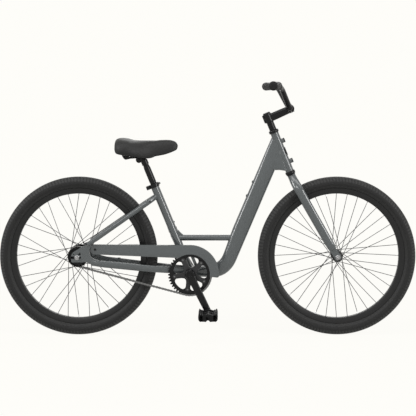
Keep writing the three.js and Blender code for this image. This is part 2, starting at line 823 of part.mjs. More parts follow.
function makeBracketCup(side) {
  const half = bracketShellWidth / 2;
  const threadRadius = bracketShellRadius - bracketShellWall - fitGap;
  const inner = half - bracketShellWidth / 4;
  const seat = half + fitGap + (side < 0 ? bracketPlate + fitGap : 0);
  const profile = [
    [crankAxleRadius + fitGap, inner],
    [threadRadius, inner],
    [threadRadius, seat],
    [bracketShellRadius, seat],
    [bracketShellRadius, seat + bracketCupFlange],
    [crankAxleRadius + fitGap, seat + bracketCupFlange],
  ].map(([radius, y]) => [radius, side * y]);
  return turned(profile, 14).translate(bracket.toArray());
}

function makeDropout(side) {
  const slotFront = rearAxleX + rearAxleRadius + fitGap;
  const slotBack = rearAxleX - dropoutLength / 2;
  const reach = dropoutInner + 2 * dropoutThickness;
  const slot = block(
    point(slotBack, side < 0 ? -reach : 0, wheelRadius - axleSlotWidth / 2),
    point(slotFront, side < 0 ? 0 : reach, wheelRadius + axleSlotWidth / 2));
  const body = cut(dropoutForm(side), slot);
  if (side > 0) return body;
  const tabEnd = guardRear.x + guardTabHeight;
  const seat = onDropout([padStartShare, 0], 0).x;
  const strip = block(
    point(seat - guardTabHeight, -guardTabFar, guardRear.z - guardTabHeight / 2),
    point(tabEnd, -guardTabNear, guardRear.z + guardTabHeight / 2));
  const pad = block(
    point(seat - guardTabHeight, -dropoutInner - guardTabThickness / 2, guardRear.z - guardTabHeight / 2),
    point(seat, -guardTabNear, guardRear.z + guardTabHeight / 2));
  return unite(body, strip, pad);
}

// Seat clamp collar: a split ring with two ears behind
function makeCollar() {
  const top = seatTubeLength - fitGap;
  const foot = top - collarHeight;
  const outer = seatTubeRadius + fitGap + collarWall;
  const ringForm = rod(onSeatTube(foot), onSeatTube(top), outer, 20);
  const earBox = seatBlock(point(-outer - earReach, -earWidth / 2, foot), point(0, earWidth / 2, top));
  const hole = rod(onSeatTube(foot - cutOverrun), onSeatTube(top + cutOverrun), seatTubeRadius + fitGap, 20);
  const slit = seatBlock(point(-outer - 2 * earReach, -collarSlit / 2, foot - cutOverrun),
    point(0, collarSlit / 2, top + cutOverrun));
  return cut(unite(ringForm, earBox), hole, slit);
}

// A box in the seat tube's own directions: ahead, across, up
function seatBlock(low, high) {
  const geometry = new THREE.BoxGeometry(high.x - low.x, high.y - low.y, high.z - low.z);
  const middle = low.clone().lerp(high, 0.5);
  geometry.translate(middle.x, middle.y, middle.z);
  geometry.rotateY(radians(seatTubeAngle - 90));
  return solidOf(geometry.translate(bracket.x, bracket.y, bracket.z));
}

// Chain guard: a flat cover over the chain's upper run and round the ring, with a lip along its top
function guardOutline(inset) {
  const outer = guardOuterRadius - inset;
  const inner = guardInnerRadius + inset;
  const rearRadius = guardRearRadius - inset;
  const corners = [];
  const arc = (centre, radius, from, to, steps) => {
    for (let i = 0; i <= steps; i++) {
      const turn = radians(from + (to - from) * i / steps);
      corners.push([centre.x + radius * Math.cos(turn), centre.z + radius * Math.sin(turn)]);
    }
  };
  arc(bracket, outer, guardFrontAngle, 90, 11);
  arc(guardRear, rearRadius, 90, 270, 8);
  arc(bracket, inner, guardInnerAngle, guardFrontAngle, 12);
  return corners;
}

function makeChainGuard() {
  const cover = plate(outlineShape(guardOutline(0)), -guardFar, -guardNear);
  const lipBand = cut(
    plate(outlineShape(guardOutline(0)), -guardFar, -guardNear + guardLipDepth),
    plate(outlineShape(guardOutline(guardLipThickness)), -guardFar - cutOverrun,
      -guardNear + guardLipDepth + cutOverrun));
  const lipStart = guardRear.x - guardRearRadius / 2;
  const middleRadius = (guardInnerRadius + guardOuterRadius) / 2;
  const above = outlineShape([
    [lipStart, guardRear.z + guardRearRadius / 2],
    [bracket.x, bracket.z + middleRadius],
    [bracket.x, bracket.z - guardOuterRadius],
    [bracket.x + guardOuterRadius * 2, bracket.z - guardOuterRadius],
    [bracket.x + guardOuterRadius * 2, bracket.z + guardOuterRadius * 2],
    [lipStart, bracket.z + guardOuterRadius * 2],
  ]);
  const nearEnd = -guardFar - cutOverrun;
  const farEnd = -guardNear + guardLipDepth + cutOverrun;
  const keep = cut(plate(above, nearEnd, farEnd),
    rod(along(bracket, across, nearEnd), along(bracket, across, farEnd), middleRadius, 24));
  const screw = (x, z) => rod(point(x, -guardFar - guardScrewHeight, z), point(x, -guardNear, z),
    guardScrewRadius * screwHeadShare, 10, guardScrewRadius);
  const frontScrew = onSeatTube(guardScrewLevel(), bracketStrutAhead);
  return unite(cover, lipBand.intersect(keep), screw(guardRear.x, guardRear.z),
    screw(frontScrew.x, frontScrew.z));
}

// Heights on the bracket, measured along the seat tube from the bottom bracket
function chainClearHeight() {
  const clear = ringPitchRadius + chainPlateHalfHeight + fitGap * 4;
  return Math.sqrt(clear * clear - (bracketStrutAhead - bracketStrutWidth / 2) ** 2);
}

function guardScrewLevel() {
  return chainClearHeight() + bracketPlate + bracketStrutWidth / 2;
}

// A strap held under the right cup that climbs behind the ring and over the chain to the guard
function makeGuardBracket() {
  const near = bracketShellWidth / 2 + fitGap;
  const far = near + bracketPlate;
  const eye = sleeve(bracketShellRadius - bracketShellWall, bracketShellRadius + bracketStrapLap, -far, -near)
    .translate(bracket.toArray());
  const left = bracketStrutAhead - bracketStrutWidth / 2;
  const right = bracketStrutAhead + bracketStrutWidth / 2;
  const top = chainClearHeight();
  const foot = seatBlock(point(bracketShellRadius - bracketStrapLap / 2, -far, 0),
    point(right, -near, bracketStrutWidth));
  const strut = seatBlock(point(left, -far, 0), point(right, -near, top + bracketPlate));
  const shelf = seatBlock(point(left, -guardTabFar, top), point(right, -near, top + bracketPlate));
  const tab = seatBlock(point(left, -guardTabFar, top),
    point(right, -guardTabNear, top + bracketPlate + bracketStrutWidth));
  return unite(eye, foot, strut, shelf, tab);
}

// Chain: two side plates round ring and cog, with pins on the straight runs
const chainRun = rearAxle.clone().sub(bracket);
const chainAngle = Math.atan2(chainRun.z, chainRun.x);
const chainSpread = Math.acos((ringPitchRadius - cogPitchRadius) / chainRun.length());

function chainOutline(offset) {
  const corners = [];
  const arc = (centre, radius, from, to, steps) => {
    for (let i = 0; i <= steps; i++) {
      const turn = from + (to - from) * i / steps;
      corners.push([centre.x + radius * Math.cos(turn), centre.z + radius * Math.sin(turn)]);
    }
  };
  arc(rearAxle, cogPitchRadius + offset, chainAngle - chainSpread, chainAngle + chainSpread, 8);
  arc(bracket, ringPitchRadius + offset, chainAngle + chainSpread, chainAngle - chainSpread + 2 * Math.PI, 20);
  return corners;
}

function makeChain() {
  const band = (near, far) => {
    const shape = outlineShape(chainOutline(chainPlateHalfHeight));
    shape.holes.push(new THREE.Path(outlineShape(chainOutline(-chainPlateHalfHeight)).getPoints()));
    return plate(shape, -far, -near);
  };
  const innerFace = chainInnerWidth / 2;
  const outerFace = chainWidth / 2;
  const pins = [];
  const straight = chainRun.length() * Math.sin(chainSpread);
  for (const sign of [-1, 1]) {
    const turn = chainAngle + sign * chainSpread;
    const normal = point(Math.cos(turn), 0, Math.sin(turn));
    const start = along(bracket, normal, ringPitchRadius);
    const direction = along(rearAxle, normal, cogPitchRadius).sub(start).normalize();
    for (let s = 3 * chainPitch; s < straight - 2 * chainPitch; s += chainPinCount * chainPitch) {
      const spot = along(start, direction, s);
      pins.push(rod(point(spot.x, -chainLine - innerFace - fitGap, spot.z),
        point(spot.x, -chainLine + innerFace + fitGap, spot.z), chainPinRadius, 3));
    }
  }
  return unite(band(chainLine + innerFace, chainLine + outerFace),
    band(chainLine - outerFace, chainLine - innerFace), ...pins);
}

// Axles and nuts
function makeNut(face, axleRadius, side) {
  const near = face + fitGap;
  const far = near + axleNutThickness;
  const flange = rod(point(0, near, 0), point(0, near + axleNutFlange, 0), axleNutRadius, 12);
  const hex = rod(point(0, near, 0), point(0, far, 0), axleNutRadius * hexShare, 6);
  const hole = rod(point(0, near - cutOverrun, 0), point(0, far + cutOverrun, 0), axleRadius + fitGap, 12);
  const nut = cut(unite(flange, hex), hole);
  return side < 0 ? nut.mirror([0, 1, 0]) : nut;
}

function makeRearAxle() {
  const end = dropoutInner + dropoutThickness + axleNutThickness + axleEnd;
  const inner = dropoutInner - fitGap;
  const driverEnd = chainLine + cogThickness * 2 + fitGap;
  const armFace = brakeArmOffset + brakeArmThickness + fitGap;
  const axle = turned([
    [0, -end],
    [rearAxleRadius, -end],
    [rearAxleRadius, -inner],
    [rearConeRadius, -inner],
    [rearConeRadius, -driverEnd],
    [rearAxleRadius, -driverEnd],
    [rearAxleRadius, armFace],
    [rearConeRadius, armFace],
    [rearConeRadius, inner],
    [rearAxleRadius, inner],
    [rearAxleRadius, end],
    [0, end],
  ], 10);
  return axle.translate(rearAxle.toArray());
}

function makeBrakeArm() {
  const stayAt = chainStayForm(1);
  const clipX = rearAxleX + brakeArmLength;
  const near = brakeArmOffset;
  const far = near + brakeArmThickness;
  const clipSlab = block(point(clipX - clipWidth / 2, 0, 0),
    point(clipX + clipWidth / 2, rearHubWidth, wheelRadius * 2));
  const box = stayAt.intersect(clipSlab).boundingBox();
  const middleZ = (box.min[2] + box.max[2]) / 2;
  const arm = plate(taperedBar([rearAxleX, wheelRadius], brakeArmEyeRadius, [clipX, middleZ],
    brakeArmTipRadius), near, far);
  const strap = cut(chainStayForm(1, fitGap + clipThickness), chainStayForm(1, fitGap)).intersect(clipSlab);
  const hole = rod(point(rearAxleX, 0, wheelRadius), point(rearAxleX, far + cutOverrun, wheelRadius),
    rearAxleRadius + fitGap, 14);
  const link = block(point(clipX - clipWidth / 2, far - fitGap, middleZ - brakeArmTipRadius / 2),
    point(clipX + clipWidth / 2, Math.max(box.min[1] - fitGap, far), middleZ + brakeArmTipRadius / 2));
  const linkCut = cut(link, chainStayForm(1, fitGap));
  return largest(cut(unite(arm, strap, linkCut), hole));
}

// Wheels
function makeTyre() {
  const halfHeight = tyreHeight * tyreHalfShare;
  const centre = wheelRadius - halfHeight;
  const bead = rimOuterRadius - rimChannelDepth + fitGap;
  const beadHalf = rimChannelWidth / 2 - fitGap;
  const arc = (angles, shrink) => angles.map((angle) => [
    centre + (halfHeight - shrink) * Math.cos(radians(angle)),
    (tyreHalf - shrink) * Math.sin(radians(angle)),
  ]);
  const tread = tyreHalf * treadShare;
  const lip = rimOuterRadius + fitGap;
  const lining = beadHalf - tyreWall;
  const right = tyreShoulderAngles.map((angle) => -angle);
  const [crownAngle, wideAngle] = tyreShoulderAngles;
  return turned([
    [bead, -beadHalf],
    [lip, -beadHalf],
    ...arc(right.reverse(), 0),
    [wheelRadius, -tread],
    [wheelRadius, tread],
    ...arc(tyreShoulderAngles, 0),
    [lip, beadHalf],
    [bead, beadHalf],
    [bead, lining],
    [lip + tyreWall, lining],
    ...arc([wideAngle, crownAngle, -crownAngle, -wideAngle], tyreWall),
    [lip + tyreWall, -lining],
    [bead, -lining],
  ], wheelSteps);
}

function makeRim() {
  const half = rimWidth / 2;
  const channel = rimChannelWidth / 2;
  const floor = rimFloorWidth / 2;
  const depth = rimOuterRadius - rimChannelDepth;
  return turned([
    [rimInnerRadius, -floor],
    [rimInnerRadius, floor],
    [rimOuterRadius, half],
    [rimOuterRadius, channel],
    [depth, channel],
    [depth, -channel],
    [rimOuterRadius, -channel],
    [rimOuterRadius, -half],
  ], wheelSteps);
}

// Spokes of one side, laced over three others, from the flange to just under the rim
function makeSpokes(side, flangeY, flangeRadius) {
  const spokes = [];
  const pair = 720 / spokeCount;
  const inner = flangeRadius - hubFlangeThickness / 3;
  const outer = rimInnerRadius * Math.cos(Math.PI / wheelSteps) - fitGap;
  for (let i = 0; i < spokeCount / 2; i++) {
    const lead = i % 2 === 0 ? 1 : -1;
    const hubTurn = radians(pair * i + (side > 0 ? pair / 2 : 0));
    const rimTurn = hubTurn + lead * radians(spokeCrossAngle);
    const start = point(inner * Math.cos(hubTurn), flangeY + lead * spokeStagger, inner * Math.sin(hubTurn));
    const end = point(outer * Math.cos(rimTurn), side * spokeRadius, outer * Math.sin(rimTurn));
    spokes.push(rod(start, end, spokeRadius, 3));
  }
  return spokes;
}

function makeHub({ flangeRadius, flangeSpacing, barrelRadius, boreRadius, rightEnd, leftEnd }) {
  const flange = flangeSpacing / 2;
  const half = hubFlangeThickness / 2;
  const endRadius = (barrelRadius + boreRadius) / 2 + half;
  const profile = [
    [boreRadius, -rightEnd],
    [endRadius, -rightEnd],
    [endRadius, -flange - half],
    [flangeRadius, -flange - half],
    [flangeRadius, -flange + half],
    [barrelRadius, -flange + half],
    [barrelRadius, flange - half],
    [flangeRadius, flange - half],
    [flangeRadius, flange + half],
    [endRadius, flange + half],
    [endRadius, leftEnd],
    [boreRadius, leftEnd],
  ];
  const shell = turned(profile, hubSteps);
  return unite(shell, ...makeSpokes(-1, -flange, flangeRadius), ...makeSpokes(1, flange, flangeRadius));
}

// Toothed wheel outline with three points for each tooth
function toothedShape(teeth, pitchRadius, reach) {
  const corners = [];
  const root = pitchRadius - chainRollerRadius;
  const tip = pitchRadius + reach;
  for (let i = 0; i < teeth; i++) {
    for (const [share, radius] of [[-0.5, root], [-toothTipShare, tip], [toothTipShare, tip]]) {
      const turn = 2 * Math.PI * (i + share) / teeth;
      corners.push([radius * Math.cos(turn), radius * Math.sin(turn)]);
    }
  }
  return outlineShape(corners);
}

const circlePath = (radius) => new THREE.Path().absarc(0, 0, radius, 0, 2 * Math.PI, true);

function makeCog() {
  const shape = toothedShape(cogTeeth, cogPitchRadius, cogToothReach);
  shape.holes.push(circlePath(driverRadius - cogThickness));
  const half = cogThickness / 2;
  const near = rearFlangeSpacing / 2 + hubFlangeThickness + 2 * fitGap;
  const disc = plate(shape, -chainLine - half, -chainLine + half, 8);
  const driver = sleeve(rearConeRadius + fitGap, driverRadius, -chainLine - cogThickness * 2, -near, 14);
  return unite(disc, driver);
}

// Crank set
function crankForm(side) {
  const inner = crankInnerFace;
  const outer = inner + crankThickness;
  const shape = taperedBar([0, 0], crankBossRadius, [crankLength, 0], crankEyeRadius, 7);
  const arm = side < 0 ? plate(shape, -outer, -inner) : plate(shape, inner, outer);
  return arm.warp((spot) => {
    spot[1] += side * crankFlare * Math.max(0, Math.min(1, spot[0] / crankLength));
  });
}

const crankEyeInner = crankInnerFace + crankFlare;
const crankEyeOuter = crankEyeInner + crankThickness;

function crankHoles(side) {
  const reach = side * (crankAxleLength / 2 + fitGap);
  const axle = rod(point(0, 0, 0), point(0, reach, 0), crankAxleRadius + fitGap, 14);
  const eye = rod(point(crankLength, side * crankInnerFace, 0),
    point(crankLength, side * (crankEyeOuter + cutOverrun), 0), pedalAxleRadius + fitGap, 12);
  return [axle, eye];
}

const spiderNear = chainLine + ringThickness / 2 + fitGap;
const spiderFar = spiderNear + spiderThickness;

function makeRightCrank() {
  const arms = [];
  for (let i = 0; i < spiderArms; i++) {
    const turn = 2 * Math.PI * (i + 0.5) / spiderArms;
    const tip = [boltCircleRadius * Math.cos(turn), boltCircleRadius * Math.sin(turn)];
    arms.push(plate(taperedBar([0, 0], spiderHubRadius, tip, spiderTabRadius, 3), -spiderFar, -spiderNear));
    const head = guardScrewHeight + spiderFar;
    arms.push(rod(point(tip[0], -head, tip[1]), point(tip[0], -spiderNear - fitGap, tip[1]),
      spiderTabRadius * ringBoltShare, 8));
  }
  const boss = rod(point(0, -spiderNear, 0), point(0, -crankInnerFace - crankThickness / 2, 0),
    spiderHubRadius - spiderThickness / 2, 14);
  return cut(unite(crankForm(-1), boss, ...arms), ...crankHoles(-1));
}

function makeLeftCrank() {
  const bossStart = point(0, crankInnerFace - crankThickness, 0);
  const bossEnd = point(0, crankInnerFace + crankThickness / 2, 0);
  const boss = rod(bossStart, bossEnd, spiderHubRadius - spiderThickness, 14);
  return cut(unite(crankForm(1), boss), ...crankHoles(1));
}

function makeChainring() {
  const shape = toothedShape(ringTeeth, ringPitchRadius, ringToothReach);
  const tab = boltCircleRadius - spiderTabRadius;
  const hole = [];
  for (let i = 0; i < spiderArms; i++) {
    const middle = 2 * Math.PI * (i + 0.5) / spiderArms;
    const tabHalf = spiderTabRadius / boltCircleRadius;
    const steps = [
      [-2 * tabHalf, ringInnerRadius],
      [-tabHalf, tab],
      [tabHalf, tab],
      [2 * tabHalf, ringInnerRadius],
    ];
    steps.forEach(([turn, radius]) => hole.push([middle + turn, radius]));
    hole.push([middle + Math.PI / spiderArms, ringInnerRadius]);
  }
  shape.holes.push(new THREE.Path(hole.map(([turn, radius]) =>
    new THREE.Vector2(radius * Math.cos(turn), radius * Math.sin(turn)))));
  const half = ringThickness / 2;
  return plate(shape, -chainLine - half, -chainLine + half);
}

// Pedals: a barrel on the axle, two treads and two end plates
const pedalInner = (pedalCentreWidth - pedalWidth) / 2;
const pedalOuter = pedalInner + pedalWidth;

function makePedalAxle(side) {
  const start = side * crankEyeInner;
  const collarFrom = side * (crankEyeOuter + fitGap);
  const collarTo = side * (pedalInner - fitGap);
  const end = side * (pedalOuter - 2 * pedalPlate);
  const pin = rod(point(0, start, 0), point(0, end, 0), pedalAxleRadius, 12);
  return unite(pin, rod(point(0, collarFrom, 0), point(0, collarTo, 0), pedalAxleRadius + pedalNeck, 12));
}

function makePedal(side) {
  const low = side < 0 ? -pedalOuter : pedalInner;
  const high = side < 0 ? -pedalInner : pedalOuter;
  const halfLength = pedalLength / 2;
  const halfHeight = pedalHeight / 2;
  const wing = (from, to) => {
    const chamfer = pedalWingDepth / 4;
    const outer = Math.sign(from + to);
    const edge = outer < 0 ? from : to;
    const root = outer < 0 ? to : from;
    return plate(outlineShape([
      [root, -halfHeight],
      [edge - outer * chamfer, -halfHeight],
      [edge, -halfHeight + chamfer],
      [edge, halfHeight - chamfer],
      [edge - outer * chamfer, halfHeight],
      [root, halfHeight],
    ]), low, high);
  };
  const endPlate = (from) => plate(
    outlineShape([
      [-halfLength + pedalPlate, -halfHeight + pedalPlate / 2],
      [halfLength - pedalPlate, -halfHeight + pedalPlate / 2],
      [halfLength - pedalPlate, halfHeight - pedalPlate / 2],
      [-halfLength + pedalPlate, halfHeight - pedalPlate / 2],
    ]), from, from + pedalPlate);
  const barrel = rod(point(0, low, 0), point(0, high, 0), pedalBarrelRadius, 14);
  const boreEnd = side * (pedalOuter - pedalPlate);
  const bore = rod(point(0, side * (pedalInner - cutOverrun), 0), point(0, boreEnd, 0),
    pedalAxleRadius + fitGap, 12);
  const wings = [wing(-halfLength, -halfLength + pedalWingDepth), wing(halfLength - pedalWingDepth, halfLength)];
  return cut(unite(...wings, endPlate(low), endPlate(high - pedalPlate), barrel), bore);
}

// Fork, in the steering group's own directions: ahead, across, up from the axle's foot
function bladePath(side) {
  const tyreSide = tyreHalf + bladeTyreRoom + bladeWide / 2;
  const endY = frontHubWidth / 2 + forkEndThickness;
  const corners = [
    point(0, side * bladeWide / 4, crownTop - bladeTall / 4),
    point(0, side * crownShoulder, crownBase + bladeWide / 2),
    point(forkRake * bladeShoulderShare, side * tyreSide, crownBase - crownShoulder),
    point(forkRake * bladeEndShare, side * endY, bladeEndRise),
  ];
  return roundedPath(corners, [bladeWide / 2, bladeWide], 3);
}

function makeBlade(side) {
  const tall = mixed(bladeTall / 2, bladeEndTall / 2);
  const wide = mixed(bladeWide / 2, bladeEndWide / 2);
  const tube = bentTube(bladePath(side), wide, tall, 12);
  const near = frontHubWidth / 2;
  const far = near + forkEndThickness;
  const top = [forkRake * bladeEndShare, bladeEndRise + bladeEndTall / 2];
  const shape = taperedBar([forkRake, 0], forkEndRadius, top, bladeEndTall / 3, 8);
  const tip = side < 0 ? plate(shape, -far, -near) : plate(shape, near, far);
  const slotHalf = frontAxleRadius + fitGap;
  const slotLow = side < 0 ? -far - cutOverrun : near - cutOverrun;
  const slotHigh = side < 0 ? -near + cutOverrun : far + cutOverrun;
  const slot = block(point(forkRake - slotHalf, slotLow, -forkEndRadius * 2),
    point(forkRake + slotHalf, slotHigh, slotHalf));
  const room = block(
    point(-bladeTall * 2, side < 0 ? -near : 0, -bladeTall),
    point(forkRake * 2, side < 0 ? 0 : near, bladeEndRise + bladeEndTall));
  const middleGap = block(point(-bladeTall * 2, side < 0 ? -fitGap / 2 : -bladeWide, 0),
    point(bladeTall * 2, side < 0 ? bladeWide : fitGap / 2, crownTop * 2));
  const steerer = unite(
    rod(point(0, 0, crownBase - cutOverrun), point(0, 0, crownTop), steererRadius + fitGap, 18),
    rod(point(0, 0, crownTop - crownRaceHeight - fitGap), point(0, 0, crownTop * 2), headsetCupRadius, 18));
  return largest(cut(unite(cut(tube, room), tip), slot, middleGap, steerer));
}

function makeSteerer() {
  const top = stemFoot + stemClampHeight - fitGap;
  const raceRadius = headsetCupRadius - crownRaceHeight;
  return turnedAlong(point(0, 0, 0), point(0, 0, 1), [
    [0, crownBase],
    [steererRadius, crownBase],
    [steererRadius, crownTop - crownRaceHeight],
    [raceRadius, crownTop - crownRaceHeight],
    [raceRadius, crownTop],
    [steererRadius, crownTop],
    [steererRadius, top],
    [0, top],
  ], 16);
}

function makeFrontAxle() {
  const face = frontHubWidth / 2;
  const end = face + forkEndThickness + axleNutThickness + axleEnd;
  const shellEnd = frontShellWidth / 2 + fitGap;
  return turned([
    [0, -end],
    [frontAxleRadius, -end],
    [frontAxleRadius, -face + fitGap],
    [frontConeRadius, -face + fitGap],
    [frontConeRadius, -shellEnd],
    [frontAxleRadius, -shellEnd],
    [frontAxleRadius, shellEnd],
    [frontConeRadius, shellEnd],
    [frontConeRadius, face - fitGap],
    [frontAxleRadius, face - fitGap],
    [frontAxleRadius, end],
    [0, end],
  ], 10);
}

// Stem and handlebar, in level directions from the middle of the stem's steerer clamp
const stemDirection = point(Math.cos(radians(stemRise)), 0, Math.sin(radians(stemRise)));
const barCentre = along(point(0, 0, 0), stemDirection, stemReach);

function stemForms() {
  const half = stemClampHeight / 2 - fitGap;
  const low = along(point(0, 0, 0), steerUp, -half);
  const high = along(point(0, 0, 0), steerUp, half);
  const clamp = rod(low, high, stemClampRadius, 18);
  const start = point(0, 0, 0);
  const extension = bentTube([start, along(barCentre, stemDirection, -barClampRadius)],
    mixed(stemWide / 2, stemWide / 2 - barSplit), mixed(stemTall / 2, stemTall / 2 - barSplit * 2), 12);
  const barHalf = barClampWidth / 2;
  const barClamp = rod(along(barCentre, across, -barHalf), along(barCentre, across, barHalf),
    barClampRadius + fitGap + barClampWall, 18);
  const steererBore = rod(along(low, steerUp, -cutOverrun), along(high, steerUp, cutOverrun),
    steererRadius + fitGap, 18);
  const barBore = rod(along(barCentre, across, -barClampWidth), along(barCentre, across, barClampWidth),
    barClampRadius + fitGap, 18);
  const whole = cut(unite(clamp, extension, barClamp), steererBore, barBore);
  const plane = barCentre.dot(stemDirection);
  const rear = whole.trimByPlane(stemDirection.clone().negate().toArray(), -plane + barSplit / 2);
  const front = whole.trimByPlane(stemDirection.toArray(), plane + barSplit / 2);
  return [largest(rear), largest(front)];
}

function barPath() {
  const half = (side) => {
    const start = point(barCentre.x, side * barStraight, barCentre.z);
    const rise = point(barCentre.x - riseKick / 2, side * riseStart, barCentre.z + riseKick);
    const top = point(barCentre.x - riserSetback, side * riseEnd, barCentre.z + barRise * riserTopShare);
    return [start, rise, top, ...gripLine(side, -gripBendTrim, gripLength)];
  };
  const right = half(-1);
  const left = half(1);
  const trims = [barRadius, riseKick, gripBendTrim];
  const bend = (corners) => roundedPath(corners, trims, 3);
  return [...bend(right).reverse(), ...bend(left)];
}

function gripLine(side, from, to) {
  const bend = point(barCentre.x - gripBendSetback, side * gripBendWidth, barCentre.z + barRise);
  const direction = point(-Math.sin(radians(gripSweep)), side * Math.cos(radians(gripSweep)), 0);
  return [along(bend, direction, gripBendTrim + from), along(bend, direction, gripBendTrim + to)];
}

function makeHandlebar() {
  const path = barPath();
  const full = path.slice(1).reduce((sum, spot, i) => sum + spot.distanceTo(path[i]), 0);
  const thick = (barStraight + barClampWall) / full;
  const radiusAt = (share) => (Math.abs(share - 0.5) < thick ? barClampRadius : barRadius);
  return bentTube(path, radiusAt, radiusAt, 10, point(1, 0, 0));
}

function makeGrip(side) {
  const [start, end] = gripLine(side, fitGap, gripLength + fitGap + gripEndWall);
  const flareStart = gripLine(side, gripLength * gripFlareShare, gripLength)[0];
  const outer = bentTube([start, flareStart, end],
    mixed(gripRadius, gripRadius + gripFlare), mixed(gripRadius, gripRadius + gripFlare), 16, point(0, 0, 1));
  const [boreStart, boreEnd] = gripLine(side, -cutOverrun, gripLength + fitGap);
  return cut(outer, rod(boreStart, boreEnd, barRadius + fitGap, 14));
}

// Seat, in world directions from the bottom bracket
const postTop = seatTubeLength + seatPostExposed;

function makeSeatPost() {
  const foot = seatTubeLength - seatPostInserted;
  const taperFoot = postTop - seatPostTaper;
  return turnedAlong(bracket, seatUp, [
    [0, foot],
    [seatPostRadius, foot],
    [seatPostRadius, taperFoot],
    [seatPostTopRadius, postTop - clampBandHeight],
    [seatPostTopRadius, postTop],
    [0, postTop],
  ], 18);
}

const clampBolt = along(onSeatTube(postTop + clampAbovePost), point(-1, 0, 0), clampBehind);
const railZ = clampBolt.z + railAboveBolt;
const saddleFloor = clampBolt.z + saddleAboveClamp;
const saddleRearX = clampBolt.x - saddleLength + saddleSetback + clampBehind;
const saddleNoseX = saddleRearX + saddleLength;
const saddleRow = (index) => {
  const [run, width, top, skirt, under] = saddleShares[index];
  const level = (share) => saddleFloor + saddleHeight * share;
  return {
    x: saddleNoseX - run * saddleLength,
    half: width * saddleWidth / 2,
    top: level(top),
    skirt: level(skirt),
    under: level(under),
  };
};

function saddleSection(index) {
  const { x, half, top, skirt, under } = saddleRow(index);
  const right = crownShares.map(([out, up]) => point(x, -half * out, skirt + (top - skirt) * up));
  const left = right.map((spot) => point(x, -spot.y, spot.z)).reverse();
  return [
    ...right,
    point(x, 0, top),
    ...left,
    point(x, half * skirtInnerShare, skirt),
    point(x, half * undersideShare, under),
    point(x, 0, under),
    point(x, -half * undersideShare, under),
    point(x, -half * skirtInnerShare, skirt),
  ];
}

const makeCushion = () => skin(saddleShares.map((_, index) => saddleSection(index)));

function makeSaddleBase() {
  const rings = [];
  for (let index = baseFirst; index <= baseLast; index++) {
    const { x, half, under } = saddleRow(index);
    const wide = half * baseWidthShare;
    const top = under - fitGap;
    const low = top - saddleBaseThickness;
    rings.push([point(x, -wide, top), point(x, wide, top), point(x, wide, low), point(x, -wide, low)]);
  }
  return cut(skin(rings), makeRails(fitGap));
}

function railPath() {
  const noseRow = saddleRow(baseFirst + 1);
  const rearRow = saddleRow(baseLast - 1);
  const half = railSpacing / 2;
  const reach = railRadius + fitGap + saddleBaseThickness;
  const side = (sign) => [
    point(rearRow.x, sign * railRearSpacing / 2, rearRow.under - reach),
    point(rearRow.x + railRadius, sign * railRearSpacing / 2, railZ + saddleHeight / 4),
    point(clampBolt.x - saddleSetback / 3, sign * half, railZ),
    point(clampBolt.x + saddleSetback / 3, sign * half, railZ),
    point(noseRow.x - railRadius * 3, sign * half / 2, noseRow.under - reach),
  ];
  const trims = [railRadius * 2, railRadius * 4, railRadius * 4];
  const right = roundedPath(side(-1), trims, 2);
  const left = roundedPath(side(1), trims, 2);
  const nose = point(noseRow.x, 0, noseRow.under - reach);
  return [...right, nose, ...left.reverse()];
}

function bentRod(path, radius, sides) {
  let sideways = across;
  const rings = path.map((spot, i) => {
    const before = path[Math.max(i - 1, 0)];
    const after = path[Math.min(i + 1, path.length - 1)];
    const direction = after.clone().sub(before).normalize();
    const wideAxis = sideways.clone().addScaledVector(direction, -sideways.dot(direction)).normalize();
    sideways = wideAxis;
    return ring(spot, wideAxis, direction.clone().cross(wideAxis), radius, radius, sides);
  });
  return skin(rings);
}

function makeRails(margin = 0) {
  return bentRod(railPath(), railRadius + margin, 6);
}

function makeSaddleClamp() {
  const middle = onSeatTube(postTop - clampBandHeight / 2);
  const bandHalf = clampBandHeight / 2 - fitGap;
  const low = along(middle, seatUp, -bandHalf);
  const high = along(middle, seatUp, bandHalf);
  const band = rod(low, high, clampBandRadius, 12);
  const near = railSpacing / 2 - clampCheekThickness / 2;
  const far = railSpacing / 2 + clampCheekThickness / 2;
  const cheekAt = (y) => along(clampBolt, across, y);
  const cheeks = [-1, 1].map((sign) => rod(cheekAt(sign * near), cheekAt(sign * far), clampCheekRadius, 10));
  const bolt = rod(cheekAt(-far - clampBoltRadius), cheekAt(far + clampBoltRadius), clampBoltRadius, 8);
  const web = block(point(clampBolt.x, -near, clampBolt.z - clampCheekThickness),
    point(middle.x, near, clampBolt.z));
  const bore = rod(along(low, seatUp, -clampBandHeight), along(high, seatUp, clampBandHeight),
    seatPostTopRadius + fitGap, 16);
  return largest(cut(unite(band, ...cheeks, bolt, web), bore, makeRails(fitGap)));
}

// Quick-release lever: a cam barrel behind the seat tube and an arm that wraps round the collar
function makeLever() {
  const outer = seatTubeRadius + fitGap + collarWall;
  const level = seatTubeLength - fitGap - collarHeight / 2;
  const camAhead = -outer - earReach / 2;
  const camY = earWidth / 2 + camRadius + fitGap;
  const onLever = (ahead, y, up) => along(onSeatTube(level + up, ahead), across, y);
  const half = leverHeight / 2;
  const cam = rod(onLever(camAhead, camY, -half), onLever(camAhead, camY, half), camRadius, 14);
  const bend = outer + leverThickness;
  const arcStart = 120;
  const steps = 7;
  const path = [onLever(camAhead, camY, 0)];
  for (let i = 0; i <= steps; i++) {
    const turn = radians(arcStart - leverSweep * i / steps);
    path.push(onLever(bend * Math.cos(turn), (bend + camRadius / 2) * Math.sin(turn), 0));
  }
  return unite(cam, bentTube(path, half * leverHeightShare, leverThickness / 2, 8, seatUp));
}

// Putting the bicycle together
function groupAt(parent, place, turnY = 0) {
  const group = new THREE.Group();
  group.position.copy(place);
  group.rotation.y = turnY;
  parent.add(group);
  return group;
}

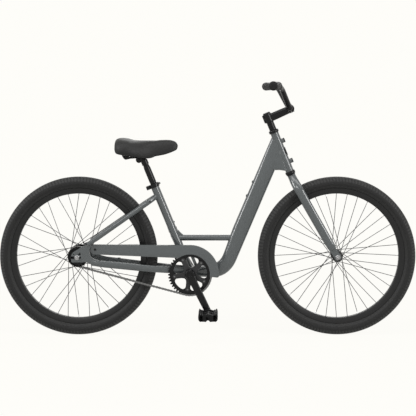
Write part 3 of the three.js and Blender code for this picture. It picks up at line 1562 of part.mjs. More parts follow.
function addWheel(parent, name, hub) {
  addPiece(parent, `${name}_tyre`, makeTyre(), blackRubber);
  addPiece(parent, `${name}_rim`, makeRim(), rimBlack);
  addPiece(parent, `${name}_hub_and_spokes`, hub, silver);
}

const bike = new THREE.Group();
makeFrame(bike);

const steering = groupAt(bike, steerFoot, steerTurn);
addPiece(steering, 'fork_steerer', makeSteerer(), darkSteel);
addPiece(steering, 'fork_blade_right', makeBlade(-1), greyPaint);
addPiece(steering, 'fork_blade_left', makeBlade(1), greyPaint);
addPiece(steering, 'headset_spacers', cut(
  rod(point(0, 0, spacerFoot), point(0, 0, stemFoot), spacerRadius, 20),
  rod(point(0, 0, spacerFoot - cutOverrun), point(0, 0, stemFoot + cutOverrun), steererRadius + fitGap, 20)),
blackPaint);
const capFoot = stemFoot + stemClampHeight;
addPiece(steering, 'stem_top_cap', rod(point(0, 0, capFoot), point(0, 0, capFoot + stemCapHeight),
  stemClampRadius - barSplit, 20, stemClampRadius - 2 * barSplit), blackPaint);

const cockpit = groupAt(steering, point(0, 0, stemClampCentre), -steerTurn);
const [stemBody, facePlate] = stemForms();
addPiece(cockpit, 'stem', stemBody, blackPaint);
addPiece(cockpit, 'stem_face_plate', facePlate, blackPaint);
addPiece(cockpit, 'handlebar', makeHandlebar(), blackPaint);
addPiece(cockpit, 'grip_right', makeGrip(-1), blackGrip);
addPiece(cockpit, 'grip_left', makeGrip(1), blackGrip);

const frontWheel = groupAt(steering, point(forkRake, 0, 0), -steerTurn);
addPiece(frontWheel, 'front_axle', makeFrontAxle(), silver);
for (const [side, name] of [[-1, 'right'], [1, 'left']]) {
  const nut = makeNut(frontHubWidth / 2 + forkEndThickness, frontAxleRadius, side);
  addPiece(frontWheel, `front_axle_nut_${name}`, nut, silver);
}
addWheel(frontWheel, 'front', makeHub({
  flangeRadius: frontFlangeRadius,
  flangeSpacing: frontFlangeSpacing,
  barrelRadius: frontBarrelRadius,
  boreRadius: frontAxleRadius + 2 * fitGap,
  rightEnd: frontShellWidth / 2,
  leftEnd: frontShellWidth / 2,
}));

const rearWheel = groupAt(bike, rearAxle);
addWheel(rearWheel, 'rear', makeHub({
  flangeRadius: rearFlangeRadius,
  flangeSpacing: rearFlangeSpacing,
  barrelRadius: rearBarrelRadius,
  boreRadius: rearAxleRadius + 2 * fitGap,
  rightEnd: rearFlangeSpacing / 2 + hubFlangeThickness,
  leftEnd: brakeArmOffset - fitGap,
}));
addPiece(rearWheel, 'rear_cog', makeCog(), darkSteel);

const crank = groupAt(bike, bracket, radians(-crankAngle));
addPiece(crank, 'crank_axle', rod(point(0, -crankAxleLength / 2, 0), point(0, crankAxleLength / 2, 0),
  crankAxleRadius, 14), darkSteel);
addPiece(crank, 'crank_arm_right', makeRightCrank(), blackPaint);
addPiece(crank, 'chainring', makeChainring(), blackPaint);
const leftCrank = groupAt(crank, point(0, 0, 0), Math.PI);
addPiece(leftCrank, 'crank_arm_left', makeLeftCrank(), blackPaint);
for (const [side, name, arm] of [[-1, 'right', crank], [1, 'left', leftCrank]]) {
  const eye = groupAt(arm, point(crankLength, 0, 0));
  addPiece(eye, `pedal_axle_${name}`, makePedalAxle(side), darkSteel);
  const level = side < 0 ? radians(crankAngle) : radians(crankAngle) + Math.PI + radians(leftPedalTurn);
  addPiece(groupAt(eye, point(0, 0, 0), level), `pedal_${name}`, makePedal(side), blackPlastic);
}

const seat = groupAt(bike, point(0, 0, 0));
addPiece(seat, 'seat_post', makeSeatPost(), blackPaint);
addPiece(seat, 'saddle_clamp', makeSaddleClamp(), blackPaint);
addPiece(seat, 'saddle_rails', makeRails(), blackPaint);
addPiece(seat, 'saddle_base', makeSaddleBase(), blackPlastic);
addPiece(seat, 'saddle_cushion', makeCushion(), blackVinyl);
addPiece(bike, 'quick_release_lever', makeLever(), blackPaint);

export default bike;
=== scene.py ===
"""Step-through bicycle: the looks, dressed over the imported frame, in metres."""
import math

import bpy
from mathutils import Matrix, Vector


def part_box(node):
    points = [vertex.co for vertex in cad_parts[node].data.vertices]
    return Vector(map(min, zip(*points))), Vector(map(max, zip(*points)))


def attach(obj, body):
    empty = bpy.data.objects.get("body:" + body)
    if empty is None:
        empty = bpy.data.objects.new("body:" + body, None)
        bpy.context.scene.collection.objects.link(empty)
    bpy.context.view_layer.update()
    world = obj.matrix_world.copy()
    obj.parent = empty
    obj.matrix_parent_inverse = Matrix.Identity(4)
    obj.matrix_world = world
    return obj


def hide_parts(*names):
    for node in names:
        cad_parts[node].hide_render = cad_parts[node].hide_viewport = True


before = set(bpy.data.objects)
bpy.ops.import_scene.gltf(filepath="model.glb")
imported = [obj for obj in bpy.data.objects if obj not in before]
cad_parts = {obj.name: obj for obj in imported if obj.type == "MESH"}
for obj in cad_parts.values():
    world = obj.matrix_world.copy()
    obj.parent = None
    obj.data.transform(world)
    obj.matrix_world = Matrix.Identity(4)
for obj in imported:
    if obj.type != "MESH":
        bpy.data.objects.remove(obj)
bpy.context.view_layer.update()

bl_info = {
    "name": "Step-through bicycle",
    "version": (1, 0, 0),
    "blender": (4, 5, 0),
    "location": "View3D > Sidebar > Bicycle",
    "description": "Models and paints the visible surfaces of a step-through bicycle",
    "category": "Object",
}


def middle(node):
    """The centre of a node's box at rest."""
    low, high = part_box(node)
    return (Vector(low) + Vector(high)) / 2


def leaning(angle):
    """The axis that leans back in the wheels' plane, at an angle from the level."""
    return Vector((-math.cos(angle), 0, math.sin(angle)))


def ahead_of(up):
    """The axis in the wheels' plane that points ahead, square to another."""
    return Vector((up.z, 0, -up.x))


# Layout, taken from the frame and from a few driving sizes
X = Vector((1, 0, 0))
Y = Vector((0, 1, 0))
Z = Vector((0, 0, 1))
SIDES = ((-1, "right"), (1, "left"))
REAR_AXLE = middle("rear_rim")
FRONT_AXLE = middle("front_rim")
BRACKET = middle("bottom_bracket_shell")
WHEEL_RADIUS = REAR_AXLE.z
SEAT_ANGLE = math.radians(67.4)
SEAT_UP = leaning(SEAT_ANGLE)
SEAT_AHEAD = ahead_of(SEAT_UP)
STEER_UP = leaning(math.radians(68))
STEER_AHEAD = ahead_of(STEER_UP)
FORK_RAKE = 0.05
STEER_FOOT = FRONT_AXLE - STEER_AHEAD * FORK_RAKE
CRANK_ANGLE = math.radians(-63.2)
CRANK_LENGTH = 0.17
CHAIN_LINE = 0.045
FIT = 0.0003
SAME_POINT = 1e-6

# Heights along the steerer from the foot of its axis
CROWN_BASE = WHEEL_RADIUS + 0.0145
CROWN_TOP = CROWN_BASE + 0.0427
HEAD_FOOT = CROWN_TOP + 0.014
HEAD_TOP = HEAD_FOOT + 0.1747
SPACER_FOOT = HEAD_TOP + 0.014
STEM_FOOT = SPACER_FOOT + 0.034
STEM_MIDDLE = STEM_FOOT + 0.02
CAP_FOOT = STEM_FOOT + 0.04

# Tubes
HEAD_RADIUS = 0.0175
SEAT_RADIUS = 0.01745
SEAT_LENGTH = 0.3895
COLLAR_RISE = 0.016
SEAT_TOP = SEAT_LENGTH + COLLAR_RISE
SHELL_RADIUS = 0.021
SHELL_HALF = 0.034
DOWN_TALL = 0.061
DOWN_WIDE = 0.046
DOWN_END = 0.041
WEB_WIDE = 0.033
CROSS_RADIUS = 0.0125
CROSS_RISE = 0.1455
STEERER_RADIUS = 0.0127
DROPOUT_INNER = 0.055
DROPOUT_OUTER = 0.061
CHAIN_STAY_RISE = 0.008
CHAIN_STAY_END = Vector((REAR_AXLE.x + 0.0595, 0.058, WHEEL_RADIUS - 0.0222))

# Drive
CHAIN_PITCH = 0.0127
RING_TEETH = 44
COG_TEETH = 18
RING_PITCH_RADIUS = CHAIN_PITCH / (2 * math.sin(math.pi / RING_TEETH))
COG_PITCH_RADIUS = CHAIN_PITCH / (2 * math.sin(math.pi / COG_TEETH))
RING_BOLT_REACH = 0.065


def on_seat(up, ahead=0.0, y=0.0):
    """A place by its height along the seat tube from the bottom bracket."""
    return BRACKET + SEAT_UP * up + SEAT_AHEAD * ahead + Y * y


def on_steer(up, ahead=0.0, y=0.0):
    """A place by its height along the steerer from the foot of its axis."""
    return STEER_FOOT + STEER_UP * up + STEER_AHEAD * ahead + Y * y


def on_crank(centre, turn, reach, y=0.0):
    """A place by its reach from a centre in the wheels' plane."""
    return centre + Vector((reach * math.cos(turn), y, reach * math.sin(turn)))


def standing(place, up):
    """The matrix that stands a piece's Z along an axis of the wheels' plane."""
    ahead = ahead_of(up)
    turn = Matrix(((ahead.x, 0, up.x), (0, 1, 0), (ahead.z, 0, up.z))).to_4x4()
    return Matrix.Translation(place) @ turn


def smoothstep(t):
    """Zero to one with level ends."""
    t = max(0.0, min(1.0, t))
    return t * t * (3 - 2 * t)


# ---------------------------------------------------------------- paths and outlines

def bent(start, corner, end, steps):
    """Points of a smooth bend from one place to another round a corner."""
    return [start * (1 - t) ** 2 + corner * 2 * t * (1 - t) + end * t * t
            for t in (i / steps for i in range(steps + 1))]


def rounded(corners, trims, steps=10):
    """A path through corners with each inner corner rounded over a trimmed length."""
    path = [corners[0]]
    for i in range(1, len(corners) - 1):
        before, corner, after = corners[i - 1:i + 2]
        trim = trims[min(i - 1, len(trims) - 1)]
        path += bent(corner + (before - corner).normalized() * trim, corner,
                     corner + (after - corner).normalized() * trim, steps)
    return path + [corners[-1]]


def reaches(path):
    """The length run at each point of a path."""
    lengths = [0.0]
    for a, b in zip(path, path[1:]):
        lengths.append(lengths[-1] + (b - a).length)
    return lengths


def evenly(path, count):
    """The same path as a number of equal steps."""
    lengths = reaches(path)
    places = []
    j = 0
    for i in range(count + 1):
        goal = lengths[-1] * i / count
        while j < len(path) - 2 and lengths[j + 1] < goal:
            j += 1
        span = lengths[j + 1] - lengths[j]
        places.append(path[j].lerp(path[j + 1], (goal - lengths[j]) / span if span else 0))
    return places


def oval(centre, wide_axis, tall_axis, wide, tall, sides, power=2.0):
    """One ring of an oval section, squarer where the power is above two."""
    ring = []
    for i in range(sides):
        turn = 2 * math.pi * i / sides
        c, s = math.cos(turn), math.sin(turn)
        ring.append(centre
                    + wide_axis * wide * math.copysign(abs(c) ** (2 / power), c)
                    + tall_axis * tall * math.copysign(abs(s) ** (2 / power), s))
    return ring


def spun(reach, degrees, centre=(0, 0)):
    """A flat point at a reach and an angle from a centre."""
    turn = math.radians(degrees)
    return centre[0] + reach * math.cos(turn), centre[1] + reach * math.sin(turn)


def arc(centre, radius, start, end, steps):
    """Points of a flat arc, with its angles in degrees."""
    return [spun(radius, start + (end - start) * i / steps, centre) for i in range(steps + 1)]


def bar_outline(start, start_radius, end, end_radius, steps=16):
    """The outline of a bar with a round end at each of two centres."""
    angle = math.degrees(math.atan2(end[1] - start[1], end[0] - start[0]))
    spread = math.degrees(math.acos((start_radius - end_radius) / math.dist(start, end)))
    return (arc(end, end_radius, angle - spread, angle + spread, steps)
            + arc(start, start_radius, angle + spread, angle - spread + 360, steps))


def softer(outline, trim, steps=4):
    """A closed flat outline with its corners rounded."""
    result = []
    for i in range(len(outline)):
        before, corner, after = (Vector(outline[(i + k) % len(outline)]) for k in (-1, 0, 1))
        reach = min(trim, (before - corner).length * 0.45, (after - corner).length * 0.45)
        result += bent(corner + (before - corner).normalized() * reach, corner,
                       corner + (after - corner).normalized() * reach, steps)
    return [tuple(spot) for spot in result]


def mirrored(outline):
    """A half outline of (radius, side) points followed by its mirror image."""
    return outline + [(radius, -side) for radius, side in reversed(outline)]


# ---------------------------------------------------------------- modelling

def clear_selection():
    """Leave edit mode and deselect everything."""
    if bpy.context.object and bpy.context.object.mode != "OBJECT":
        bpy.ops.object.mode_set(mode="OBJECT")
    bpy.ops.object.select_all(action="DESELECT")


def only(obj):
    """Make one object the selected and active one."""
    clear_selection()
    obj.select_set(True)
    bpy.context.view_layer.objects.active = obj
    return obj


def named(obj, name):
    """Give an object and its mesh one name."""
    obj.name = name
    obj.data.name = name
    return obj


def weld():
    """Join doubled points."""
    bpy.ops.mesh.remove_doubles(threshold=SAME_POINT)


def fill():
    """Close open ends."""
    bpy.ops.mesh.fill_holes(sides=0)


def edited(obj, *steps):
    """Run edit-mode steps over a whole piece, then turn all its faces outwards."""
    only(obj)
    bpy.ops.object.mode_set(mode="EDIT")
    for step in steps:
        bpy.ops.mesh.select_all(action="SELECT")
        step()
    bpy.ops.mesh.select_all(action="SELECT")
    bpy.ops.mesh.normals_make_consistent(inside=False)
    bpy.ops.object.mode_set(mode="OBJECT")
    return obj


def settle(obj, matrix):
    """Move a piece to its place and leave the place in its mesh."""
    only(obj)
    obj.matrix_world = matrix
    bpy.ops.object.transform_apply(location=True, rotation=True, scale=True)
    return obj


def modified(obj, kind, **settings):
    """Add one modifier, set it and apply it."""
    only(obj)
    bpy.ops.object.modifier_add(type=kind)
    modifier = obj.modifiers[-1]
    for key, value in settings.items():
        setattr(modifier, key, value)
    bpy.ops.object.modifier_apply(modifier=modifier.name)
    return obj


def soften(obj, width, segments=2, angle=40):
    """Round the sharp edges."""
    return modified(obj, "BEVEL", width=width, segments=segments, limit_method="ANGLE",
                    angle_limit=math.radians(angle))


def skinned(name, rings, close=True):
    """A grid bent into a tube through rings of equally many points, with its ends closed."""
    sides = len(rings[0])
    clear_selection()
    bpy.ops.mesh.primitive_grid_add(x_subdivisions=sides, y_subdivisions=len(rings) - 1, size=1)
    obj = named(bpy.context.object, name)
    for j, ring in enumerate(rings):
        for i in range(sides + 1):
            obj.data.vertices[j * (sides + 1) + i].co = ring[i % sides]
    return edited(obj, weld, fill) if close else edited(obj, weld)


def tube(name, path, wide, tall=None, sides=40, sideways=Y, power=2.0):
    """A tube along a path; its half sizes may be numbers or functions of the share of its length."""
    lengths = reaches(path)
    rings = []
    for i, place in enumerate(path):
        direction = (path[min(i + 1, len(path) - 1)] - path[max(i - 1, 0)]).normalized()
        wide_axis = (sideways - direction * sideways.dot(direction)).normalized()
        half_wide, half_tall = (half(lengths[i] / lengths[-1]) if callable(half) else half
                                for half in (wide, wide if tall is None else tall))
        rings.append(oval(place, wide_axis, direction.cross(wide_axis), half_wide, half_tall, sides, power))
    return skinned(name, rings)


def turned(name, outline, foot=Vector(), axis=Z, steps=64):
    """A solid spun round an axis from a closed outline of (radius, height) points."""
    clear_selection()
    bpy.ops.mesh.primitive_circle_add(vertices=len(outline), radius=1)
    obj = named(bpy.context.object, name)
    for vertex, (radius, height) in zip(obj.data.vertices, outline):
        vertex.co = (radius, 0, height)
    edited(obj, lambda: bpy.ops.mesh.spin(steps=steps, angle=2 * math.pi, center=(0, 0, 0), axis=(0, 0, 1),
                                          use_auto_merge=True), weld)
    return settle(obj, Matrix.Translation(foot) @ Z.rotation_difference(axis).to_matrix().to_4x4())


def rod(name, start, end, radius, end_radius=None, chamfer=0.0006, steps=40):
    """A round bar with chamfered ends."""
    end_radius = radius if end_radius is None else end_radius
    length = (end - start).length
    outline = [(0, 0), (radius - chamfer, 0), (radius, chamfer), (end_radius, length - chamfer),
               (end_radius - chamfer, length), (0, length)]
    return turned(name, outline, start, (end - start).normalized(), steps)


def bolt(name, place, axis, radius, height, socket=0.5):
    """A round bolt head with a socket, standing on its place."""
    chamfer = height * 0.25
    floor = height * 0.3
    neck = radius * 0.8
    sunk = -0.002
    outline = [(0, sunk), (neck, sunk), (neck, 0), (radius, 0), (radius, height - chamfer),
               (radius - chamfer, height), (radius * socket, height), (radius * socket * 0.96, floor), (0, floor)]
    return turned(name, outline, place, axis, 36)


def plate(name, loops, near, far, edge=0.0006, segments=2):
    """A flat plate in the wheels' plane from an outline and its holes, with softened edges."""
    clear_selection()
    bpy.ops.curve.primitive_nurbs_path_add(location=(0, 0, 0))
    data = bpy.context.object.data
    data.splines.clear()
    data.dimensions = "2D"
    data.fill_mode = "BOTH"
    data.extrude = abs(far - near) / 2
    for loop in loops:
        spline = data.splines.new("POLY")
        spline.points.add(len(loop) - 1)
        spline.use_cyclic_u = True
        for spot, (x, z) in zip(spline.points, loop):
            spot.co = (x, z, 0, 1)
    bpy.ops.object.convert(target="MESH")
    obj = edited(named(bpy.context.object, name), weld)
    settle(obj, Matrix.Translation((0, (near + far) / 2, 0)) @ Matrix.Rotation(math.pi / 2, 4, "X"))
    return soften(obj, edge, segments) if edge else obj


def block(name, matrix, size, edge=0.0):
    """A box of a size under a matrix, with softened edges."""
    clear_selection()
    bpy.ops.mesh.primitive_cube_add(size=1)
    box = settle(named(bpy.context.object, name), matrix @ Matrix.Diagonal((*size, 1)))
    return soften(box, edge) if edge else box


def joined(name, pieces):
    """Several pieces as one object."""
    clear_selection()
    for piece in pieces:
        piece.select_set(True)
    bpy.context.view_layer.objects.active = pieces[0]
    if len(pieces) > 1:
        bpy.ops.object.join()
    return named(bpy.context.object, name)


def fused(name, pieces, voxel, rounds):
    """Overlapping solids melted into one skin, with small fillets where they meet."""
    obj = joined(name, pieces)
    modified(obj, "REMESH", mode="VOXEL", voxel_size=voxel, use_smooth_shade=True)
    return modified(obj, "SMOOTH", factor=0.5, iterations=rounds)


def combined(body, other, operation):
    """Unite a solid with another or take the other out of it."""
    modified(body, "BOOLEAN", operation=operation, object=other, solver="EXACT")
    bpy.data.objects.remove(other)
    return body


def united(name, pieces):
    """Overlapping solids cut into one exact skin."""
    body = pieces[0]
    for piece in pieces[1:]:
        combined(body, piece, "UNION")
    return edited(named(body, name), weld)


def bored(obj, cutter):
    """Take one solid out of another."""
    return combined(obj, cutter, "DIFFERENCE")


def trimmed(obj, place, normal):
    """Cut away what lies beyond a plane and close the cut."""
    return edited(obj, lambda: bpy.ops.mesh.bisect(plane_co=place, plane_no=normal, use_fill=True,
                                                   clear_outer=True))


def copied(obj, matrices, name):
    """Copies of one modelled shape, each with its own mesh, as one object."""
    copies = []
    for matrix in matrices:
        twin = obj.copy()
        twin.data = obj.data.copy()
        bpy.context.collection.objects.link(twin)
        copies.append(settle(twin, matrix))
    bpy.data.objects.remove(obj)
    return joined(name, copies)


def dressed(obj, body, material, nodes=(), angle=35):
    """Smooth a finished piece, give it its finish and let it ride its body."""
    only(obj)
    bpy.ops.object.shade_smooth_by_angle(angle=math.radians(angle))
    obj.data.materials.clear()
    obj.data.materials.append(FINISHES[material])
    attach(obj, body)
    if nodes:
        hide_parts(*nodes)
    return obj


# ---------------------------------------------------------------- finishes

class Value:
    """A shader socket that takes part in sums, products and comparisons."""

    def __init__(self, tree, socket):
        self.tree = tree
        self.socket = socket

    def maths(self, operation, *terms):
        """A maths node over sockets and plain numbers, in their order."""
        node = self.tree.nodes.new("ShaderNodeMath")
        node.operation = operation
        for slot, term in zip(node.inputs, terms):
            if isinstance(term, Value):
                self.tree.links.new(term.socket, slot)
            else:
                slot.default_value = term
        return Value(self.tree, node.outputs[0])

    def __add__(self, other):
        return self.maths("ADD", self, other)

    __radd__ = __add__

    def __sub__(self, other):
        return self.maths("SUBTRACT", self, other)

    def __rsub__(self, other):
        return self.maths("SUBTRACT", other, self)

    def __mul__(self, other):
        return self.maths("MULTIPLY", self, other)

    __rmul__ = __mul__

    def __gt__(self, other):
        return self.maths("GREATER_THAN", self, other)

    def __lt__(self, other):
        return self.maths("LESS_THAN", self, other)

    def at_least(self, limit):
        return self.maths("MAXIMUM", self, limit)

    def at_most(self, limit):
        return self.maths("MINIMUM", self, limit)

    def absolute(self):
        return self.maths("ABSOLUTE", self)

    def fraction(self):
        return self.maths("FRACT", self)

    def sine(self):
        return self.maths("SINE", self)

    def root(self):
        return self.maths("SQRT", self)

    def angle_to(self, other):
        return self.maths("ARCTAN2", self, other)


class Finish:
    """The nodes of a material or a world in the making."""

    def __init__(self, owner):
        owner.use_nodes = True
        self.owner = owner
        self.tree = owner.node_tree
        self.tree.nodes.clear()

    def node(self, kind, settings=None, sockets=None, output=0):
        """Add a node of a type, set it, fill its sockets and return one output."""
        node = self.tree.nodes.new(kind)
        for key, value in (settings or {}).items():
            setattr(node, key, value)
        for key, value in (sockets or {}).items():
            if isinstance(value, Value):
                self.tree.links.new(value.socket, node.inputs[key])
            else:
                node.inputs[key].default_value = value
        return Value(self.tree, node.outputs[output]) if len(node.outputs) else None

    def place(self):
        """Object coordinates and their three parts."""
        spot = self.node("ShaderNodeTexCoord", output="Object")
        parts = [self.node("ShaderNodeSeparateXYZ", None, {0: spot}, axis) for axis in "XYZ"]
        return spot, parts

    def noise(self, spot, scale, detail=2.0, roughness=0.5):
        """Cloudy values about one half."""
        return self.node("ShaderNodeTexNoise", None,
                         {"Vector": spot, "Scale": scale, "Detail": detail, "Roughness": roughness})

    def blend(self, share, first, second):
        """A colour between two by a share."""
        return self.node("ShaderNodeMix", {"data_type": "RGBA"}, {0: share, 6: first, 7: second}, output=2)

    def rise(self, value, low, high):
        """Zero to one with soft ends while a value goes from low to high."""
        return self.node("ShaderNodeMapRange", {"interpolation_type": "SMOOTHSTEP"},
                         {0: value, 1: low, 2: high, 3: 0.0, 4: 1.0})

    def bump(self, height, strength, distance):
        """A normal from a height."""
        return self.node("ShaderNodeBump", None, {"Height": height, "Strength": strength, "Distance": distance})

    def surface(self, sockets):
        """Finish the material with a principled surface."""
        shader = self.node("ShaderNodeBsdfPrincipled", None, sockets)
        self.node("ShaderNodeOutputMaterial", None, {"Surface": shader})
        return self.owner


def new_finish(name):
    """A fresh material's nodes, its object coordinates and their three parts."""
    finish = Finish(bpy.data.materials.new(name))
    return finish, *finish.place()


def shade(value, factor=1.0):
    """A colour as four numbers, lighter or darker by a factor."""
    return (*(max(0.0, min(1.0, part * factor)) for part in tuple(value)[:3]), 1.0)


def off_centre(variation, amount):
    """A variation about one half, as a swing about zero."""
    return (variation - 0.5) * amount


def paint_finish(name, tone, roughness, coat, peel, gloss):
    """Sprayed paint: fine flakes, slight clouding, orange peel and a clear coat."""
    finish, spot, _ = new_finish(name)
    clouds = finish.noise(spot, 9, 3)
    grain = off_centre(finish.noise(spot, 2200, 1), 0.5) + off_centre(clouds, 0.5) + 0.5
    return finish.surface({
        "Base Color": finish.blend(grain, shade(tone, 0.86), shade(tone, 1.14)),
        "Roughness": roughness + off_centre(clouds, 0.08),
        "Specular IOR Level": gloss,
        "Coat Weight": coat,
        "Coat Roughness": 0.14,
        "Coat IOR": 1.5,
        "Normal": finish.bump(finish.noise(spot, 420, 2), peel, 0.0002),
    })


def steel_finish(name, tone, roughness, stain, oiled=0.0):
    """Plain or plated steel with faint scratches and stains, oiled dark round the rear cog."""
    finish, spot, (x, _, z) = new_finish(name)
    oil = oiled
    if oiled:
        ahead = x - REAR_AXLE.x
        up = z - REAR_AXLE.z
        oil = ((0.0425 - (ahead * ahead + up * up).root()) * 400).at_least(0.0).at_most(oiled)
    stretched = finish.node("ShaderNodeMapping", None, {"Vector": spot, "Scale": (900, 60, 900)})
    lines = finish.noise(stretched, 1, 3)
    marks = finish.noise(spot, 160, 3, 0.6)
    return finish.surface({
        "Base Color": finish.blend((marks * stain + oil).at_most(1.0), shade(tone), shade(tone, 0.06)),
        "Metallic": 1.0,
        "Roughness": roughness + off_centre(lines, 0.14) + off_centre(marks, stain * 0.3),
        "Normal": finish.bump(lines, 0.12, 0.0002),
    })


def moulded(finish, tone, clouds, roughness, gloss, relief):
    """Finish a moulded surface from its clouding, its roughness and its relief."""
    return finish.surface({
        "Base Color": finish.blend(clouds, shade(tone, 0.85), shade(tone, 1.2)),
        "Roughness": roughness,
        "Specular IOR Level": gloss,
        "Normal": finish.bump(*relief),
    })


def plastic_finish(name, tone):
    """Moulded plastic with a fine spark-eroded grain."""
    finish, spot, _ = new_finish(name)
    grain = finish.noise(spot, 1400, 2)
    return moulded(finish, tone, finish.noise(spot, 24, 2), 0.5 + off_centre(grain, 0.15), 0.16,
                   (grain, 0.25, 0.0003))


def grip_finish(name, tone):
    """Soft rubber with rings across the grip."""
    finish, spot, (_, y, _) = new_finish(name)
    rings = (y.absolute() * 1400).sine()
    pores = finish.noise(spot, 1800, 2)
    return moulded(finish, tone, finish.noise(spot, 40, 2), 0.5 + off_centre(pores, 0.2), 0.16,
                   (rings * 0.4 + pores * 0.3, 0.5, 0.0006))


def vinyl_finish(name, tone):
    """Stretched vinyl with a fine leather grain."""
    finish, spot, _ = new_finish(name)
    cells = finish.node("ShaderNodeTexVoronoi", {"feature": "DISTANCE_TO_EDGE"}, {"Vector": spot, "Scale": 620})
    creases = (cells * 3.0).at_most(1.0)
    fine = finish.noise(spot, 900, 3)
    clouds = finish.noise(spot, 18, 2)
    return moulded(finish, tone, clouds, 0.5 + off_centre(fine, 0.16) + off_centre(clouds, 0.08), 0.22,
                   (creases * 0.7 + fine * 0.3, 0.35, 0.0004))


def tyre_finish(name, tone, centre, sizes):
    """Rubber with shoulder blocks and centre blocks round the tread, fine rings on the sidewall and a painted
    highlight: a lighter ring low on the sidewall.
    """
    finish, spot, (x, y, z) = new_finish(name)
    ahead = x - centre.x
    up = z - centre.z
    radius = (ahead * ahead + up * up).root()
    turn = up.angle_to(ahead) * (sizes.tread_blocks / (2 * math.pi))
    side = y.absolute() * (1 / sizes.tyre_half)
    shoulder_blocks = ((turn + side * 0.35).fraction() > 0.36) * (side > 0.30)
    middle_blocks = ((turn * 2 + side * 0.8).fraction() > 0.3) * (side < 0.24)
    tread = (shoulder_blocks + middle_blocks) * (radius > (WHEEL_RADIUS - 0.019))
    rings = ((radius * 2400).sine() > 0.2) * (radius < (WHEEL_RADIUS - 0.026))
    shoulder = finish.rise(radius, 0.3125, 0.3175)
    wall = finish.rise(radius, 0.2985, 0.2945)
    foot = finish.rise(radius, 0.2885, 0.2865)
    dust = finish.noise(spot, 60, 3)
    # painted highlight: wall and foot together paint a lighter ring on the sidewall between 0.2865 and 0.2945 from
    # the axle; below it, by the rim, the rubber is painted a little darker; the tread blocks and the outer shoulder
    # are painted lighter
    light = 0.12 + shoulder * 0.05 + tread * 0.7 + wall * 0.45 - foot * 0.5 + off_centre(dust, 0.25)
    height = tread + rings * 0.12 + finish.noise(spot, 1500, 1) * 0.08
    return finish.surface({
        "Base Color": finish.blend(light, shade(tone, 0.6), shade(tone, 1.7)),
        "Roughness": 0.62 + off_centre(dust, 0.2),
        "Specular IOR Level": 0.2,
        "Normal": finish.bump(height, 0.8, 0.0012),
    })


FINISHES = {}


# ---------------------------------------------------------------- settings

def tone_setting(name, description, default):
    """A linear colour that the panel shows."""
    return bpy.props.FloatVectorProperty(name=name, description=description, subtype="COLOR", size=3,
                                         min=0, max=1, default=default)


def length_setting(name, description, default, low, high):
    """A small length that the panel shows."""
    return bpy.props.FloatProperty(name=name, description=description, default=default, min=low, max=high,
                                   precision=4, subtype="DISTANCE", unit="LENGTH")


class BikeColours(bpy.types.PropertyGroup):
    """Colours of the bicycle's finishes, as linear values."""

    paint: tone_setting("Frame paint", "Grey of the frame, fork and chain guard", (0.060, 0.067, 0.0695))
    black: tone_setting("Black parts", "Gloss black of the handlebar, stem, post and cranks",
                        (0.0045, 0.0045, 0.005))
    rim: tone_setting("Rims", "Satin black of the rims and hubs", (0.0055, 0.0055, 0.0058))
    rubber: tone_setting("Tyres", "Charcoal of the tyres", (0.0178, 0.0178, 0.0178))
    grip: tone_setting("Grips", "Black of the handlebar grips", (0.008, 0.008, 0.008))
    vinyl: tone_setting("Saddle", "Black of the saddle's cover", (0.012, 0.012, 0.012))
    steel: tone_setting("Bright steel", "Spokes, nuts and small steel parts", (0.36, 0.36, 0.365))
    chain: tone_setting("Chain", "Steel of the chain", (0.20, 0.20, 0.20))


class BikeSizes(bpy.types.PropertyGroup):
    """Sizes of the visible trim."""

    spokes: bpy.props.IntProperty(
        name="Spokes", description="Spokes in each wheel", default=36, min=12, max=48)
    spoke_radius: length_setting("Spoke radius", "Half the thickness of a spoke", 0.0013, 0.0005, 0.003)
    tread_blocks: bpy.props.IntProperty(
        name="Tread blocks", description="Shoulder blocks round each tyre", default=150, min=20, max=300)
    tyre_half: length_setting("Tyre half width", "Half the width of a tyre", 0.0267, 0.01, 0.05)


class BikeOperator:
    """What every step of the build shares."""

    bl_options = {"REGISTER", "UNDO"}

    @property
    def sizes(self):
        return bpy.context.scene.bike_sizes


class BIKE_OT_finishes(BikeOperator, bpy.types.Operator):
    """Make the paints, metals, rubbers and vinyl"""

    bl_idname = "bike.finishes"
    bl_label = "Finishes"

    def execute(self, context):
        tones = context.scene.bike_colours
        # paints: roughness, coat, orange peel, gloss; steels: roughness, stain, oil
        FINISHES.update({
            "paint": paint_finish("grey_paint", tones.paint, 0.4, 1.0, 0.006, 0.1),
            "black": paint_finish("black_gloss", tones.black, 0.22, 0.0, 0.02, 0.2),
            "rim": paint_finish("black_satin", tones.rim, 0.36, 0.0, 0.04, 0.3),
            "spider": paint_finish("black_forging", shade(tones.rim, 3.4), 0.34, 0.0, 0.04, 0.3),
            "arm": paint_finish("grey_arm", shade(tones.paint, 1.1), 0.5, 0.0, 0.04, 0.2),
            "dark": paint_finish("blackened_steel", shade(tones.black, 1.6), 0.36, 0.0, 0.04, 0.2),
            "steel": steel_finish("bright_steel", tones.steel, 0.26, 0.1),
            "spoke": steel_finish("spoke_steel", shade(tones.steel, 0.17), 0.3, 0.3),
            "chain": steel_finish("chain_steel", tones.chain, 0.32, 0.45, 1.0),
            "plastic": plastic_finish("black_plastic", tones.black),
            "grip": grip_finish("grip_rubber", tones.grip),
            "vinyl": vinyl_finish("saddle_vinyl", tones.vinyl),
            "front_tyre": tyre_finish("front_tyre_rubber", tones.rubber, FRONT_AXLE, self.sizes),
            "rear_tyre": tyre_finish("rear_tyre_rubber", tones.rubber, REAR_AXLE, self.sizes),
        })
        return {"FINISHED"}


# ---------------------------------------------------------------- frame

